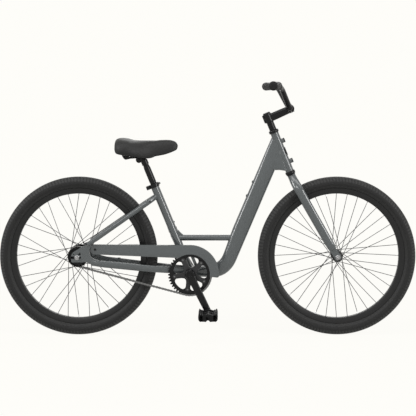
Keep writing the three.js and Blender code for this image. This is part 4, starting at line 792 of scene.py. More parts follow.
BASKET_BOSSES = (0.131, 0.0395)
BOTTLE_BOSSES = (0.392, 0.328)
DOWN_TOP = on_steer(HEAD_FOOT + 0.1265)
DOWN_CORNER = BRACKET + Vector((0.1429, 0, 0.0078))
DOWN_UP = (DOWN_TOP - DOWN_CORNER).normalized()
DOWN_AHEAD = ahead_of(DOWN_UP)
GUARD_REAR = (REAR_AXLE.x + 0.0745, WHEEL_RADIUS + 0.033)


def on_down(up, ahead=0.0):
    """A place by its height along the straight part of the down tube."""
    return DOWN_CORNER + DOWN_UP * up + DOWN_AHEAD * ahead


def down_at(level):
    """The down tube's middle at a height above the floor."""
    return on_down((level - DOWN_CORNER.z) / DOWN_UP.z)


def down_tube():
    """The big oval tube that bends into the bottom bracket."""
    steps = 60

    def fuller(share):
        return 0.0032 * (1 - smoothstep((share - 0.55) / 0.2))

    def foot(share):
        return smoothstep((share - 0.80) / 0.2)

    def wide(share):
        neck = 1 - smoothstep(share / 0.34)
        return (DOWN_WIDE + (DOWN_END - DOWN_WIDE) * foot(share) + (WEB_WIDE - DOWN_WIDE) * neck) / 2

    def tall(share):
        return (DOWN_TALL + (DOWN_END - DOWN_TALL) * foot(share)) / 2 + fuller(share)

    path = evenly(rounded([DOWN_TOP + DOWN_UP * 0.012, DOWN_CORNER, BRACKET], [0.058], 16), steps)
    path = [place - DOWN_AHEAD * fuller(i / steps) for i, place in enumerate(path)]
    obj = tube("down_tube_skin", path, wide, tall, 48, power=2.15)
    return trimmed(obj, on_steer(0, -HEAD_RADIUS / 3), STEER_AHEAD)


def web():
    """The hollow gusset between the down tube and the head tube, arched below."""
    low = on_steer(HEAD_FOOT).z
    high = on_steer(HEAD_TOP - 0.014).z
    steps = 16
    rings = []
    for share in (i / steps for i in range(steps + 1)):
        level = low + (high - low) * share
        rear = down_at(level).x - DOWN_TALL / 2 * share
        front = on_steer((level - STEER_FOOT.z) / STEER_UP.z).x
        middle_x = (rear + front) / 2
        half = (front - rear) / 2
        ring = oval(Vector((middle_x, 0, level)), X, Y, half, WEB_WIDE / 2, 40, 2.4)
        for spot in ring:
            offset = (spot.x - middle_x) / half
            spot.z += (1 - share) * (0.011 * (1 - offset * offset) - 0.008 * max(0.0, offset) ** 2)
        rings.append(ring)
    return trimmed(skinned("web_skin", rings), on_steer(0, -HEAD_RADIUS / 3), STEER_AHEAD)


def chain_stay(side):
    """One oval stay from the bottom bracket past the tyre to its dropout."""
    front = BRACKET + Vector((0, side * 0.022, CHAIN_STAY_RISE))
    end = Vector((CHAIN_STAY_END.x, side * CHAIN_STAY_END.y, CHAIN_STAY_END.z))

    def spread(x, y):
        share = (front.x - x) / (front.x - end.x)
        return Vector((x, side * y, front.z + (end.z - front.z) * share - 0.012 * share * (1 - share)))

    corners = [front, spread(-0.1564, 0.0285), spread(-0.2395, 0.042), end]
    return tube("chain_stay_skin", evenly(rounded(corners, [0.034, 0.034]), 50),
                lambda share: 0.008 - 0.0022 * smoothstep((share - 0.93) / 0.07),
                lambda share: 0.0142 - 0.0025 * smoothstep((share - 0.85) / 0.15), 32)


def seat_stay_corners(side):
    """Top, shoulder and foot of a seat stay."""
    top = on_seat(SEAT_LENGTH - 0.044, -0.0145) + Z * 0.0065
    foot = Vector((REAR_AXLE.x + 0.0444, side * 0.05996, WHEEL_RADIUS + 0.0545))
    shoulder = top.lerp(foot, 0.1)
    return [Vector((top.x, side * SEAT_RADIUS * 0.38, top.z)), Vector((shoulder.x, side * 0.036, shoulder.z)),
            foot]


def seat_stay(side):
    """One round stay from behind the seat tube down to its dropout."""
    return tube("seat_stay_skin", evenly(rounded(seat_stay_corners(side), [0.024], 12), 50),
                lambda share: 0.0110 - 0.0022 * smoothstep((share - 0.85) / 0.15), sides=32)


def stay_bridge():
    """The cross bar between the seat stays' shoulders."""
    _, shoulder, foot = seat_stay_corners(1)
    end = shoulder + (foot - shoulder).normalized() * 0.006 - X * 0.006
    return rod("bridge_skin", Vector((end.x, -end.y, end.z)), end, 0.006, steps=28)


def gusset():
    """The small fillet plate in the upper corner of the cross tube and the seat tube."""
    level = BRACKET.z + CROSS_RISE
    seat = on_seat(CROSS_RISE / SEAT_UP.z)
    face = seat.x + SEAT_RADIUS / SEAT_UP.z
    slope = SEAT_UP.x / SEAT_UP.z
    foot = level + CROSS_RADIUS - 0.01
    curve = bent(Vector((face + 0.038, foot)), Vector((face + 0.0095, foot + 0.005)),
                 Vector((face + 0.02 * slope, foot + 0.03)), 8)
    outline = [(seat.x, level), *(tuple(spot) for spot in curve), (seat.x + 0.02 * slope, foot + 0.02)]
    return plate("gusset_skin", [outline], -0.0075, 0.0075, 0.003, 3)


class BIKE_OT_frame(BikeOperator, bpy.types.Operator):
    """Weld the tubes of the frame into one painted skin"""

    bl_idname = "bike.frame"
    bl_label = "Frame tubes"

    def execute(self, context):
        level = BRACKET.z + CROSS_RISE
        pieces = [
            rod("head_skin", on_steer(HEAD_FOOT), on_steer(HEAD_TOP), HEAD_RADIUS, steps=48),
            down_tube(),
            web(),
            rod("seat_skin", on_seat(0), on_seat(SEAT_TOP - 0.0005), SEAT_RADIUS, steps=48),
            rod("cross_skin", on_seat(CROSS_RISE / SEAT_UP.z), down_at(level), CROSS_RADIUS, steps=36),
            gusset(),
            rod("shell_skin", BRACKET - Y * SHELL_HALF, BRACKET + Y * SHELL_HALF, SHELL_RADIUS, steps=48),
        ]
        for side, _ in SIDES:
            pieces += [chain_stay(side), seat_stay(side)]
        for height in BASKET_BOSSES:
            foot = on_steer(HEAD_FOOT + height)
            pieces.append(rod("basket_boss_skin", foot, foot + STEER_AHEAD * 0.0265, 0.0102, steps=32))
        for height in BOTTLE_BOSSES:
            pieces.append(rod("bottle_boss_skin", on_down(height), on_down(height, -DOWN_TALL / 2 - 0.0078),
                              0.0072, steps=32))
        skin = united("frame_tubes", pieces + [stay_bridge()])
        for name, foot, top, radius in (
                ("post_bore", on_seat(SEAT_LENGTH - 0.30), on_seat(SEAT_TOP + 0.01), 0.0143),
                ("head_bore", on_steer(HEAD_FOOT - 0.01), on_steer(HEAD_TOP + 0.01), STEERER_RADIUS + 0.0012)):
            bored(skin, rod(name, foot, top, radius, steps=48))
        dressed(skin, "frame", "paint", (
            "head_tube", "down_tube", "seat_tube", "cross_tube", "bottom_bracket_shell", "chain_stay_right",
            "chain_stay_left", "seat_stay_right", "seat_stay_left", "seat_stay_bridge"), 38)
        modified(skin, "WEIGHTED_NORMAL", keep_sharp=True)
        for side, name in SIDES:
            self.dropout(side, name)
        self.screws()
        for side, name in SIDES:
            self.cup(side, name)
        self.badge()
        return {"FINISHED"}

    def dropout(self, side, name):
        """A plate dropout with its axle slot and lightening holes, on the right with the guard's tab."""
        axle_x, axle_z = REAR_AXLE.x, WHEEL_RADIUS
        slot_half = 0.0054
        rear = axle_x - 0.024
        shares = [(-0.195, 0.14), (-0.13, 0.27), (0.02, 0.385), (0.18, 0.535), (0.50, 0.62), (0.42, 0.29),
                  (0.475, 0.05), (0.57, -0.06), (0.80, -0.15), (0.80, -0.39), (0.57, -0.37), (0.30, -0.20),
                  (0.20, -0.225), (-0.20, -0.225)]
        outline = softer([(axle_x + ahead * 0.12, axle_z + up * 0.087) for ahead, up in shares], 0.006)
        split = next(i for i, (x, _) in enumerate(outline) if x > rear + 0.0001)
        behind = outline[:split]
        outline = [*(spot for spot in behind if spot[1] < axle_z), (rear, axle_z - slot_half),
                   *arc((axle_x + 0.0115, axle_z), slot_half, -90, 90, 12), (rear, axle_z + slot_half),
                   *(spot for spot in behind if spot[1] > axle_z), *outline[split:]]
        holes = [arc((axle_x - 0.0133, axle_z + 0.0142), 0.0022, 0, 337.5, 15),
                 softer([(axle_x + ahead, axle_z + up) for ahead, up in
                         ((0.002, 0.0115), (0.0155, 0.0105), (0.0145, 0.0225))], 0.002, 3)]
        near, far = sorted((side * DROPOUT_INNER, side * DROPOUT_OUTER))
        pieces = [plate(f"dropout_plate_{name}", [outline, *holes], near, far, 0.0009, 3)]
        if side < 0:
            tab = bar_outline((axle_x + 0.038, GUARD_REAR[1]), 0.006, GUARD_REAR, 0.0061, 10)
            root = bar_outline((axle_x + 0.034, GUARD_REAR[1]), 0.005, (axle_x + 0.0445, GUARD_REAR[1]), 0.0051, 8)
            pieces += [plate("guard_tab", [tab], -0.0521, -0.0501, 0.0004),
                       plate("guard_tab_root", [root], -0.056, -0.0503, 0.0004)]
        dressed(joined(f"dropout_{name}_skin", pieces), "frame", "paint", (f"dropout_{name}",))

    def cup(self, side, name):
        """A bottom bracket cup, stepped round its spanner hold."""
        seat = SHELL_HALF + FIT + (0.0025 if side < 0 else 0)
        outline = [(0.009, -0.012), (0.0165, -0.012), (0.0165, 0), (0.0208, 0), (0.0210, 0.0003),
                   (0.0210, 0.0022), (0.0202, 0.003), (0.0165, 0.003), (0.0150, 0.0016), (0.0125, 0.0016),
                   (0.0110, 0.0028), (0.009, 0.0028)]
        cup = turned(f"bracket_cup_{name}", outline, BRACKET + Y * side * seat, Y * side, 60)
        dressed(cup, "frame", "dark", (f"bottom_bracket_cup_{name}",))

    def screws(self):
        """Dark screws in the bosses, and in the stays' vents dark rods that paint the shade inside the holes."""
        head = [(0, 0.0), (0.0088, 0.0), (0.0104, 0.0012), (0.0106, 0.0026), (0.0098, 0.0036),
                (0.0060, 0.0044), (0.0034, 0.0044), (0.0030, 0.0012), (0, 0.0012)]
        pieces = [turned("basket_screw", head, on_steer(HEAD_FOOT + height, 0.0262), STEER_AHEAD, 40)
                  for height in BASKET_BOSSES]
        pieces += [bolt("bottle_screw", on_down(height, -DOWN_TALL / 2 - 0.0074), -DOWN_AHEAD, 0.0045, 0.0022, 0.55)
                   for height in BOTTLE_BOSSES]
        for side, _ in SIDES:
            # painted shade: a black rod in each vent stands in for the dark inside of the hole
            vent = Vector((-0.2405, side * 0.040, 0.5660))
            pieces.append(rod("vent_shade_dot", vent, vent + Y * side * 0.0056, 0.0027, steps=20))
        dressed(joined("boss_screws", pieces), "frame", "black")

    def badge(self):
        """A plain oval badge wrapped round the front of the head tube."""
        foot, height, steps = HEAD_FOOT + 0.067, 0.036, 14
        outer = HEAD_RADIUS + FIT + 0.0015
        inner = HEAD_RADIUS - 0.0004
        half = math.degrees(math.asin(0.0145 / outer))
        section = arc((0, 0), outer, -half, half, steps) + arc((0, 0), inner, half, -half, steps)
        rows = []
        for share in (i / steps for i in range(steps + 1)):
            narrow = math.sqrt(max(0.02, 1 - abs(2 * share - 1) ** 4)) * 0.999
            rows.append([on_steer(foot + height * share, x, y * narrow) for x, y in section])
        badge = soften(skinned("badge_plate", rows), 0.0003, 2, 50)
        dressed(badge, "frame", "plastic", ("head_badge",))


# ---------------------------------------------------------------- chain guard, seat collar, brake arm

GUARD_NEAR = 0.0524
GUARD_FAR = 0.0544
GUARD_REACH = 0.1215
GUARD_END = 0.0205
STRAP_Y = -0.0354


class BIKE_OT_guard(BikeOperator, bpy.types.Operator):
    """Press the chain guard and its bracket"""

    bl_idname = "bike.guard"
    bl_label = "Chain guard"

    def execute(self, context):
        hub = (BRACKET.x, BRACKET.z)
        fold = 0.0018
        lip_end = (GUARD_REAR[0] - 0.006, GUARD_REAR[1] + GUARD_END)
        outline = ([spun(reach, turn, hub) for turn, reach in ((-6.9, 0.1130), (-6.2, 0.1180), (-5.0, 0.1205))]
                   + arc(hub, GUARD_REACH, -3.2, 90, 40) + arc(GUARD_REAR, GUARD_END, 90, 270, 20)
                   + arc(hub, 0.083, 124.8, -7, 44))
        cover = plate("guard_cover", [softer(outline, 0.0015, 2)], -GUARD_FAR, -GUARD_NEAR, 0.0008, 3)
        outer = [*arc(hub, GUARD_REACH, -3.2, 90, 48), lip_end]
        inner = [*arc(hub, GUARD_REACH - fold, -3.2, 90, 48), (lip_end[0], lip_end[1] - fold)]
        lip = plate("guard_lip", [outer + inner[::-1]], -GUARD_FAR + 0.0004, -GUARD_NEAR + 0.009, 0.0005)
        dressed(joined("guard_shell", [cover, lip]), "frame", "paint", ("chain_guard",))
        screw = bolt("guard_screw", Vector((GUARD_REAR[0], -GUARD_FAR, GUARD_REAR[1])), -Y, 0.005, 0.0016)
        dressed(screw, "frame", "dark")
        self.bracket(math.sqrt((RING_PITCH_RADIUS + 0.0054) ** 2 - 0.0292 ** 2))
        return {"FINISHED"}

    def bracket(self, top):
        """The strap under the right cup that climbs behind the ring to the guard."""
        pieces = [turned("strap_eye", [(0.0172, 0.0343), (0.023, 0.0343), (0.023, 0.0365), (0.0172, 0.0365)],
                         BRACKET, -Y, 56)]
        for up, ahead, y, size in (
                (top + 0.0011, 0.0357, -0.0432, (0.013, 0.0178, 0.0022)),
                (top + 0.0076, 0.0357, -0.0511, (0.013, 0.0020, 0.0152)),
                (top / 2 + 0.003, 0.0357, STRAP_Y, (0.013, 0.0022, top - 0.004)),
                (0.0065, 0.0315, STRAP_Y, (0.0215, 0.0022, 0.013))):
            pieces.append(block("strap_leaf", standing(on_seat(up, ahead, y), SEAT_UP), size, 0.0004))
        dressed(joined("guard_strap", pieces), "frame", "paint", ("chain_guard_bracket",))


class BIKE_OT_clamp(BikeOperator, bpy.types.Operator):
    """Make the seat clamp collar and its quick-release lever"""

    bl_idname = "bike.clamp"
    bl_label = "Seat collar and lever"

    def execute(self, context):
        height = 0.016
        foot = SEAT_TOP - FIT - height
        inner = SEAT_RADIUS + FIT
        outer = inner + 0.0034
        slit, ear = 0.0012, 0.011
        end = -outer - 0.014
        slit_turn = math.degrees(math.asin(slit / inner))
        ear_turn = math.degrees(math.asin(ear / outer))
        section = (arc((0, 0), outer, 180 + ear_turn, 540 - ear_turn, 44)
                   + [(end + 0.002, ear), (end, ear - 0.0025), (end, slit)]
                   + arc((0, 0), inner, 180 - slit_turn, -180 + slit_turn, 44)
                   + [(end, -slit), (end, -ear + 0.0025), (end + 0.002, -ear)])
        # the plate lies across the seat tube: its thickness runs along the tube
        ring = plate("collar_ring", [section], 0, height, 0.0008, 3)
        settle(ring, standing(on_seat(foot), SEAT_UP) @ Matrix(((1, 0, 0), (0, 0, 1), (0, 1, 0))).to_4x4())
        dressed(edited(ring, weld), "frame", "black", ("seat_clamp_collar",))
        self.lever(foot + height / 2, outer, ear)
        return {"FINISHED"}

    def lever(self, level, outer, ear):
        """The lever with its cam on the left, and the nut and skewer that it pulls."""
        hinge = -outer - 0.007
        cam_y = ear + 0.007 + FIT
        cam = rod("lever_cam", on_seat(level - 0.0045, hinge, cam_y), on_seat(level + 0.0045, hinge, cam_y),
                  0.007, chamfer=0.0008, steps=32)
        bend = outer + 0.0045
        path = [on_seat(level, hinge, cam_y)]
        for i in range(25):
            turn = math.radians(120 - 118 * i / 24)
            path.append(on_seat(level, bend * math.cos(turn), (bend + 0.0035) * math.sin(turn)))

        def thinner(share):
            return smoothstep((share - 0.93) / 0.07)

        arm = tube("lever_arm", evenly(path, 44),
                   lambda share: 0.0038 + 0.0006 * math.sin(math.pi * share) - 0.0016 * thinner(share),
                   lambda share: 0.00225 - 0.0012 * thinner(share), 20, SEAT_UP, 2.6)
        dressed(joined("lever_body", [cam, arm]), "quick_release", "black",
                ("quick_release_lever",))
        nut = turned("collar_nut", [(0, 0), (0.006, 0), (0.0068, 0.0008), (0.0068, 0.0034), (0.0058, 0.0046),
                                    (0, 0.0046)], on_seat(level, hinge, -ear), -Y, 32)
        skewer = rod("collar_skewer", on_seat(level, hinge, -0.0112), on_seat(level, hinge, 0.0125), 0.0025,
                     chamfer=0.0003, steps=20)
        dressed(joined("collar_fastener", [nut, skewer]), "frame", "dark")


class BIKE_OT_brake(BikeOperator, bpy.types.Operator):
    """Make the coaster brake arm with its clip"""

    bl_idname = "bike.brake"
    bl_label = "Brake arm"

    def execute(self, context):
        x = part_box("coaster_brake_arm")[1][0] - 0.008
        stay_foot = BRACKET.z + CHAIN_STAY_RISE
        z = stay_foot + (CHAIN_STAY_END.z - stay_foot) * (BRACKET.x - x) / (BRACKET.x - CHAIN_STAY_END.x)
        axle = (REAR_AXLE.x, WHEEL_RADIUS)
        loops = [bar_outline(axle, 0.015, (x, z), 0.008, 18), arc(axle, 0.0053, 0, 345, 23),
                 arc((x, z), 0.0026, 0, 330, 11)]
        arm = plate("brake_bar", loops, 0.0396, 0.0426, 0.0007, 3)
        rib = tube("brake_rib", [Vector((axle[0] + 0.022, 0.0428, axle[1] - 0.006)),
                                 Vector((x - 0.014, 0.0428, z + 0.002))], 0.0009, 0.0032, 16)
        half, wall = 0.0065, 0.0015
        rings = [oval(Vector((x + ahead, 0.0525, z)), Y, Z, 0.0098 - inset, 0.0143 - inset, 48)
                 for ahead, inset in ((-half, wall), (-half, 0), (half, 0), (half, wall), (-half, wall))]
        clip = soften(skinned("brake_clip", rings, close=False), 0.0004)
        pin = bolt("brake_bolt", Vector((x, 0.0426, z)), Y, 0.0042, 0.004)
        dressed(joined("brake_arm_skin", [arm, rib, clip, pin]), "frame", "arm",
                ("coaster_brake_arm",))
        return {"FINISHED"}


# ---------------------------------------------------------------- wheels

RIM_INNER = 0.2622


def tyre_profile(half_width):
    """The tyre's section as (radius, side) points, hollow and open to the rim."""
    half_height = 0.0485 * 0.515
    centre = WHEEL_RADIUS - half_height

    def curve(inset, start, end, step):
        return [(centre + (half_height - inset) * math.cos(turn), (half_width - inset) * math.sin(turn))
                for turn in (math.radians(angle) for angle in range(start, end, step))]

    return ([(0.2745, -0.0116), (0.2853, -0.0128), *curve(0, -136, 137, 8), (0.2853, 0.0128),
             (0.2745, 0.0116), (0.2745, 0.0088), (0.288, 0.0095)]
            + curve(0.003, 132, -133, -12) + [(0.288, -0.0095), (0.2745, -0.0088)])


def rim_profile():
    """The rim's section: a rounded box with hooked walls for the tyre."""
    return mirrored([(0.2736, -0.0030), (0.2738, -0.0090), (0.2742, -0.0112), (0.2760, -0.0122),
                     (0.2838, -0.0120), (0.2848, -0.0124), (0.2850, -0.0138), (0.2848, -0.0147),
                     (0.2835, -0.0150), (0.2800, -0.0143), (0.2645, -0.0103), (0.2628, -0.0092),
                     (0.2620, -0.0075)])


class BIKE_OT_wheels(BikeOperator, bpy.types.Operator):
    """Lace both wheels"""

    bl_idname = "bike.wheels"
    bl_label = "Wheels"

    def execute(self, context):
        for name, axle, flange_radius, flange_y, hub, finish in (
                ("front", FRONT_AXLE, 0.0225, 0.033, self.front_hub(), "rim"),
                ("rear", REAR_AXLE, 0.044, 0.028, self.rear_hub(), "chain")):
            body = f"{name}_wheel"
            tyre = turned(f"{name}_tyre_skin", tyre_profile(self.sizes.tyre_half), axle, Y, 160)
            dressed(tyre, body, f"{name}_tyre", (f"{name}_tyre",), 60)
            rim = turned(f"{name}_rim_skin", rim_profile(), axle, Y, 144)
            dressed(rim, body, "rim", (f"{name}_rim",), 40)
            shell = turned(f"{name}_hub_shell", hub, axle, Y, 84 if name == "rear" else 72)
            dressed(shell, body, finish, (f"{name}_hub_and_spokes",))
            self.spokes(name, axle, flange_radius, flange_y)
        return {"FINISHED"}

    def front_hub(self):
        """A narrow barrel that swells into two flanges."""
        return mirrored([
            (0.0051, -0.043), (0.0085, -0.043), (0.0107, -0.0405), (0.0112, -0.0385), (0.0135, -0.0372),
            (0.0205, -0.0362), (0.0222, -0.0355), (0.0225, -0.0342), (0.0225, -0.0318), (0.0220, -0.0306),
            (0.0205, -0.0300), (0.0150, -0.0292), (0.0128, -0.0270), (0.0120, -0.0230), (0.0118, 0.0)])

    def rear_hub(self):
        """The wide shell of a coaster hub, stepped further out on the left."""
        right = [(0.0056, -0.0342), (0.0150, -0.0342), (0.0168, -0.0336), (0.0172, -0.0322), (0.0200, -0.0316)]
        middle_half = [(0.0420, -0.0311), (0.0438, -0.0306), (0.0440, -0.0292), (0.0440, -0.0262),
                       (0.0432, -0.0252), (0.0400, -0.0248), (0.0262, -0.0240), (0.0230, -0.0215),
                       (0.0220, -0.0170), (0.0218, -0.0060)]
        left = [(0.0215, 0.0316), (0.0205, 0.0325), (0.0200, 0.0380), (0.0190, 0.0393), (0.0056, 0.0393)]
        return right + mirrored(middle_half) + left

    def spokes(self, name, axle, flange_radius, flange_y):
        """Spokes laced over three others, with heads and nipples."""
        count = self.sizes.spokes
        pair = 4 * math.pi / count
        spokes, nipples = [], []
        for side, _ in SIDES:
            for i in range(count // 2):
                lead = 1 if i % 2 == 0 else -1
                hub_turn = pair * i + (pair / 2 if side > 0 else 0)
                start = on_crank(axle, hub_turn, flange_radius - 0.0021, side * flange_y + lead * 0.0019)
                end = on_crank(axle, hub_turn + lead * math.radians(60), RIM_INNER, side * 0.0011)
                head = Y * lead * 0.0009
                way = (end - start).normalized()
                spokes += [rod("spoke", start, end, self.sizes.spoke_radius, chamfer=0.0002, steps=10),
                           rod("spoke_head", start - head, start + head * 2.6, 0.0019, 0.0014, 0.0003, 10)]
                nipples.append(rod("nipple", end - way * 0.010, end + way * 0.002, 0.0016, 0.0021, 0.0003, 8))
        dressed(joined(f"{name}_spokes", spokes), f"{name}_wheel", "spoke")
        dressed(joined(f"{name}_nipples", nipples), f"{name}_wheel", "steel")


class BIKE_OT_axles(BikeOperator, bpy.types.Operator):
    """Turn the axles, cones and nuts"""

    bl_idname = "bike.axles"
    bl_label = "Axles and nuts"

    def execute(self, context):
        for name, body, centre, radius, cone, inner, face, right, left, end in (
                ("rear", "frame", REAR_AXLE, 0.005, 0.009, 0.0547, 0.061, 0.0505, 0.0429, 0.074),
                ("front", "steering", FRONT_AXLE, 0.0045, 0.0085, 0.0497, 0.055, 0.0433, 0.0433, 0.068)):
            tip, edge = 0.0008, 0.0006
            outline = [(0, -end), (radius - tip, -end), (radius, -end + tip),
                       *self.thread(radius, -end + 0.001, -face - 0.004),
                       (radius, -inner), (cone * 0.94, -inner), (cone, -inner + edge), (cone, -right - edge),
                       (cone * 0.9, -right), (radius, -right), (radius, left), (cone * 0.9, left),
                       (cone, left + edge), (cone, inner - edge), (cone * 0.94, inner), (radius, inner),
                       *self.thread(radius, face + 0.004, end - 0.001),
                       (radius, end - tip), (radius - tip, end), (0, end)]
            axle = turned(f"{name}_axle_skin", outline, centre, Y, 32)
            dressed(axle, body, "steel", (f"{name}_axle",))
            for side, word in SIDES:
                nut = settle(self.nut(f"{name}_nut_{word}", face, radius, side), Matrix.Translation(centre))
                dressed(nut, body, "steel", (f"{name}_axle_nut_{word}",))
        return {"FINISHED"}

    def thread(self, radius, low, high):
        """Small ridges along an outline."""
        count = max(1, int((high - low) / 0.0011))
        step = (high - low) / count
        points = []
        for i in range(count):
            points += [(radius - 0.0004, low + step * i), (radius, low + step * (i + 0.5))]
        return points

    def nut(self, name, face, axle_radius, side):
        """A flanged hexagon nut against a face."""
        near = face + FIT
        hexagon = arc((0, 0), 0.0087, 30, 330, 5)
        hole = arc((0, 0), axle_radius + 0.0001, 0, 345, 23)
        body = plate(f"{name}_hex", [hexagon, hole], side * near, side * (near + 0.009), 0.0009, 3)
        washer = turned(f"{name}_flange", [(axle_radius, near), (0.0096, near), (0.010, near + 0.0004),
                                           (0.010, near + 0.0013), (0.0092, near + 0.002),
                                           (axle_radius, near + 0.002)], Vector(), Y * side, 40)
        return joined(name, [body, washer])


# ---------------------------------------------------------------- drive

ALONG_CRANK = Matrix.Translation(BRACKET) @ Matrix.Rotation(-CRANK_ANGLE, 4, "Y")


def toothed(teeth, pitch_radius, tip_reach):
    """A sprocket's outline with rounded hollows for the chain's rollers."""
    root = pitch_radius - 0.0039
    rise = [(-0.40, root + 0.0004), (-0.31, pitch_radius - 0.0012), (-0.20, pitch_radius + tip_reach * 0.55),
            (-0.10, pitch_radius + tip_reach)]
    tooth = [(-0.5, root), *rise, *((-share, radius) for share, radius in reversed(rise))]
    return [spun(radius, 360 * (i + share) / teeth) for i in range(teeth) for share, radius in tooth]


def chain_path():
    """The places of every pin round the ring and the cog."""
    run = REAR_AXLE - BRACKET
    angle = math.atan2(run.z, run.x)
    spread = math.acos((RING_PITCH_RADIUS - COG_PITCH_RADIUS) / run.length)
    steps = 240
    fine = []
    for centre, radius, start, end in ((REAR_AXLE, COG_PITCH_RADIUS, angle - spread, angle + spread),
                                       (BRACKET, RING_PITCH_RADIUS, angle + spread, angle - spread + 2 * math.pi)):
        fine += [on_crank(centre, start + (end - start) * i / steps, radius, -CHAIN_LINE)
                 for i in range(steps + 1)]
    fine.append(fine[0])
    links = 2 * round(reaches(fine)[-1] / CHAIN_PITCH / 2)
    return evenly(fine, links)[:-1]


class BIKE_OT_drive(BikeOperator, bpy.types.Operator):
    """Make the chain, sprockets, cranks and pedals"""

    bl_idname = "bike.drive"
    bl_label = "Chain and cranks"

    def execute(self, context):
        self.chain()
        self.cog()
        self.chainring()
        self.crank(-1, "right")
        self.spider()
        self.crank(1, "left")
        self.spindle()
        for side, name in SIDES:
            self.pedal(side, name)
        return {"FINISHED"}

    def chain(self):
        """Inner and outer links joined by rollers and pins."""
        places = chain_path()
        half = CHAIN_PITCH / 2
        waist = []
        for sign, start in ((1, -100), (-1, 80)):
            waist += arc((sign * half, 0), 0.0042, start, start + 200, 8)
            waist += [(sign * half * 0.25, sign * 0.0031), (-sign * half * 0.25, sign * 0.0031)]
        links = []
        for parity, name, near, far, pin, reach, radius, chamfer, steps in (
                (1, "inner", 0.0022, 0.0032, "roller", 0.0022, 0.0038, 0.0002, 12),
                (0, "outer", 0.0033, 0.0042, "pin", 0.0047, 0.0018, 0.0003, 8)):
            pieces = [plate(f"{name}_plate", [waist], *span, 0.0) for span in ((near, far), (-far, -near))]
            pieces += [rod(pin, Vector((end, -reach, 0)), Vector((end, reach, 0)), radius, chamfer=chamfer,
                           steps=steps) for end in (-half, half)]
            spots = []
            for i in range(parity, len(places), 2):
                place, after = places[i], places[(i + 1) % len(places)]
                turn = math.atan2(after.z - place.z, after.x - place.x)
                spots.append(Matrix.Translation((place + after) / 2) @ Matrix.Rotation(-turn, 4, "Y"))
            links.append(copied(joined(f"{name}_link", pieces), spots, f"{name}_links"))
        dressed(joined("chain_links", links), "frame", "chain", ("chain",))

    def cog(self):
        """The toothed disc on its driver."""
        reach, spread = 0.0235, math.degrees(0.22)
        windows = [bar_outline(spun(reach, turn - spread), 0.0026, spun(reach, turn + spread), 0.00261, 6)
                   for turn in range(0, 360, 60)]
        disc = plate("cog_disc", [toothed(COG_TEETH, COG_PITCH_RADIUS, 0.0034), arc((0, 0), 0.0145, 0, 350, 35),
                                  *windows], -CHAIN_LINE - 0.0013, -CHAIN_LINE + 0.0013, 0.0003)
        settle(disc, Matrix.Translation(REAR_AXLE))
        driver = turned("driver_shell", [(0.0093, 0.0348), (0.0165, 0.0348), (0.017, 0.0353), (0.017, 0.0485),
                                         (0.0163, 0.0495), (0.0150, 0.0502), (0.0128, 0.0502), (0.0122, 0.0490),
                                         (0.0093, 0.0490)], REAR_AXLE, -Y, 60)
        dressed(joined("cog_and_driver", [disc, driver]), "driver", "dark", ("rear_cog",))

    def chainring(self):
        """The toothed ring with tabs for the spider's arms."""
        tab = [(4, 0.0545), (9.5, 0.0560), (11, 0.0640), (15.5, 0.0695)]
        tab = [(-turn, reach) for turn, reach in reversed(tab)] + tab
        tab += [(15.5 + 41 * k / 8, 0.0715) for k in range(1, 8)]
        hole = softer([spun(reach, 72 * i + 36 + turn) for i in range(5) for turn, reach in tab], 0.004, 3)
        ring = plate("ring_disc", [toothed(RING_TEETH, RING_PITCH_RADIUS, 0.0038), hole],
                     -CHAIN_LINE - 0.0015, -CHAIN_LINE + 0.0015, 0.0004)
        dressed(settle(ring, ALONG_CRANK), "crank", "black", ("chainring",))

    def spider(self):
        """The five-armed star that carries the ring, and its bolts."""
        arm = [(6.5, 0.0715), (8.8, 0.0650), (11.5, 0.0500), (17, 0.0370), (27, 0.0300)]
        arm = [(-36, 0.0285)] + [(-turn, reach) for turn, reach in reversed(arm)] + [(0, 0.0740)] + arm
        middles = [72 * i + 36 for i in range(5)]
        star = [spun(reach, centre + turn) for centre in middles for turn, reach in arm]
        spider = plate("crank_spider", [softer(star, 0.004, 3), arc((0, 0), 0.0088, 0, 350, 35)],
                       -0.052, -0.0468, 0.0016, 4)
        dressed(settle(spider, ALONG_CRANK), "crank", "spider")
        bolts = []
        for centre in middles:
            x, z = spun(RING_BOLT_REACH, centre)
            bolts.append(bolt("ring_bolt", Vector((x, -0.052, z)), -Y, 0.0034, 0.0012, 0.55))
            bolts.append(rod("ring_bolt_back", Vector((x, -0.0435, z)), Vector((x, -0.0420, z)), 0.0058, steps=28))
        dressed(settle(joined("ring_bolts", bolts), ALONG_CRANK), "crank", "chain")

    def arm_form(self, side):
        """One forged arm that leans outwards to its pedal eye, along X from the axle."""
        hub_end, eye_end, steps = 0.022, 0.013, 34
        hub_half, eye_half, thick = 0.0188, 0.0140, 0.007
        rings = []
        for i in range(steps + 1):
            x = -hub_end + (CRANK_LENGTH + eye_end + hub_end) * i / steps
            run = max(0.0, min(1.0, x / CRANK_LENGTH))
            if x < 0:
                half = hub_half * math.sqrt(max(0.0, 1 - (x / hub_end) ** 2))
            elif x > CRANK_LENGTH:
                half = eye_half * math.sqrt(max(0.0, 1 - ((x - CRANK_LENGTH) / eye_end) ** 2))
            else:
                half = hub_half - 0.0036 * smoothstep(run * 3.2) - 0.0012 * smoothstep(run * 2 - 1)
            centre = Vector((x, side * (0.066 + 0.012 * run), 0))
            rings.append(oval(centre, Z, Y, max(half, 0.0008), thick, 40, 3.4))
        return skinned("crank_arm_form", rings)

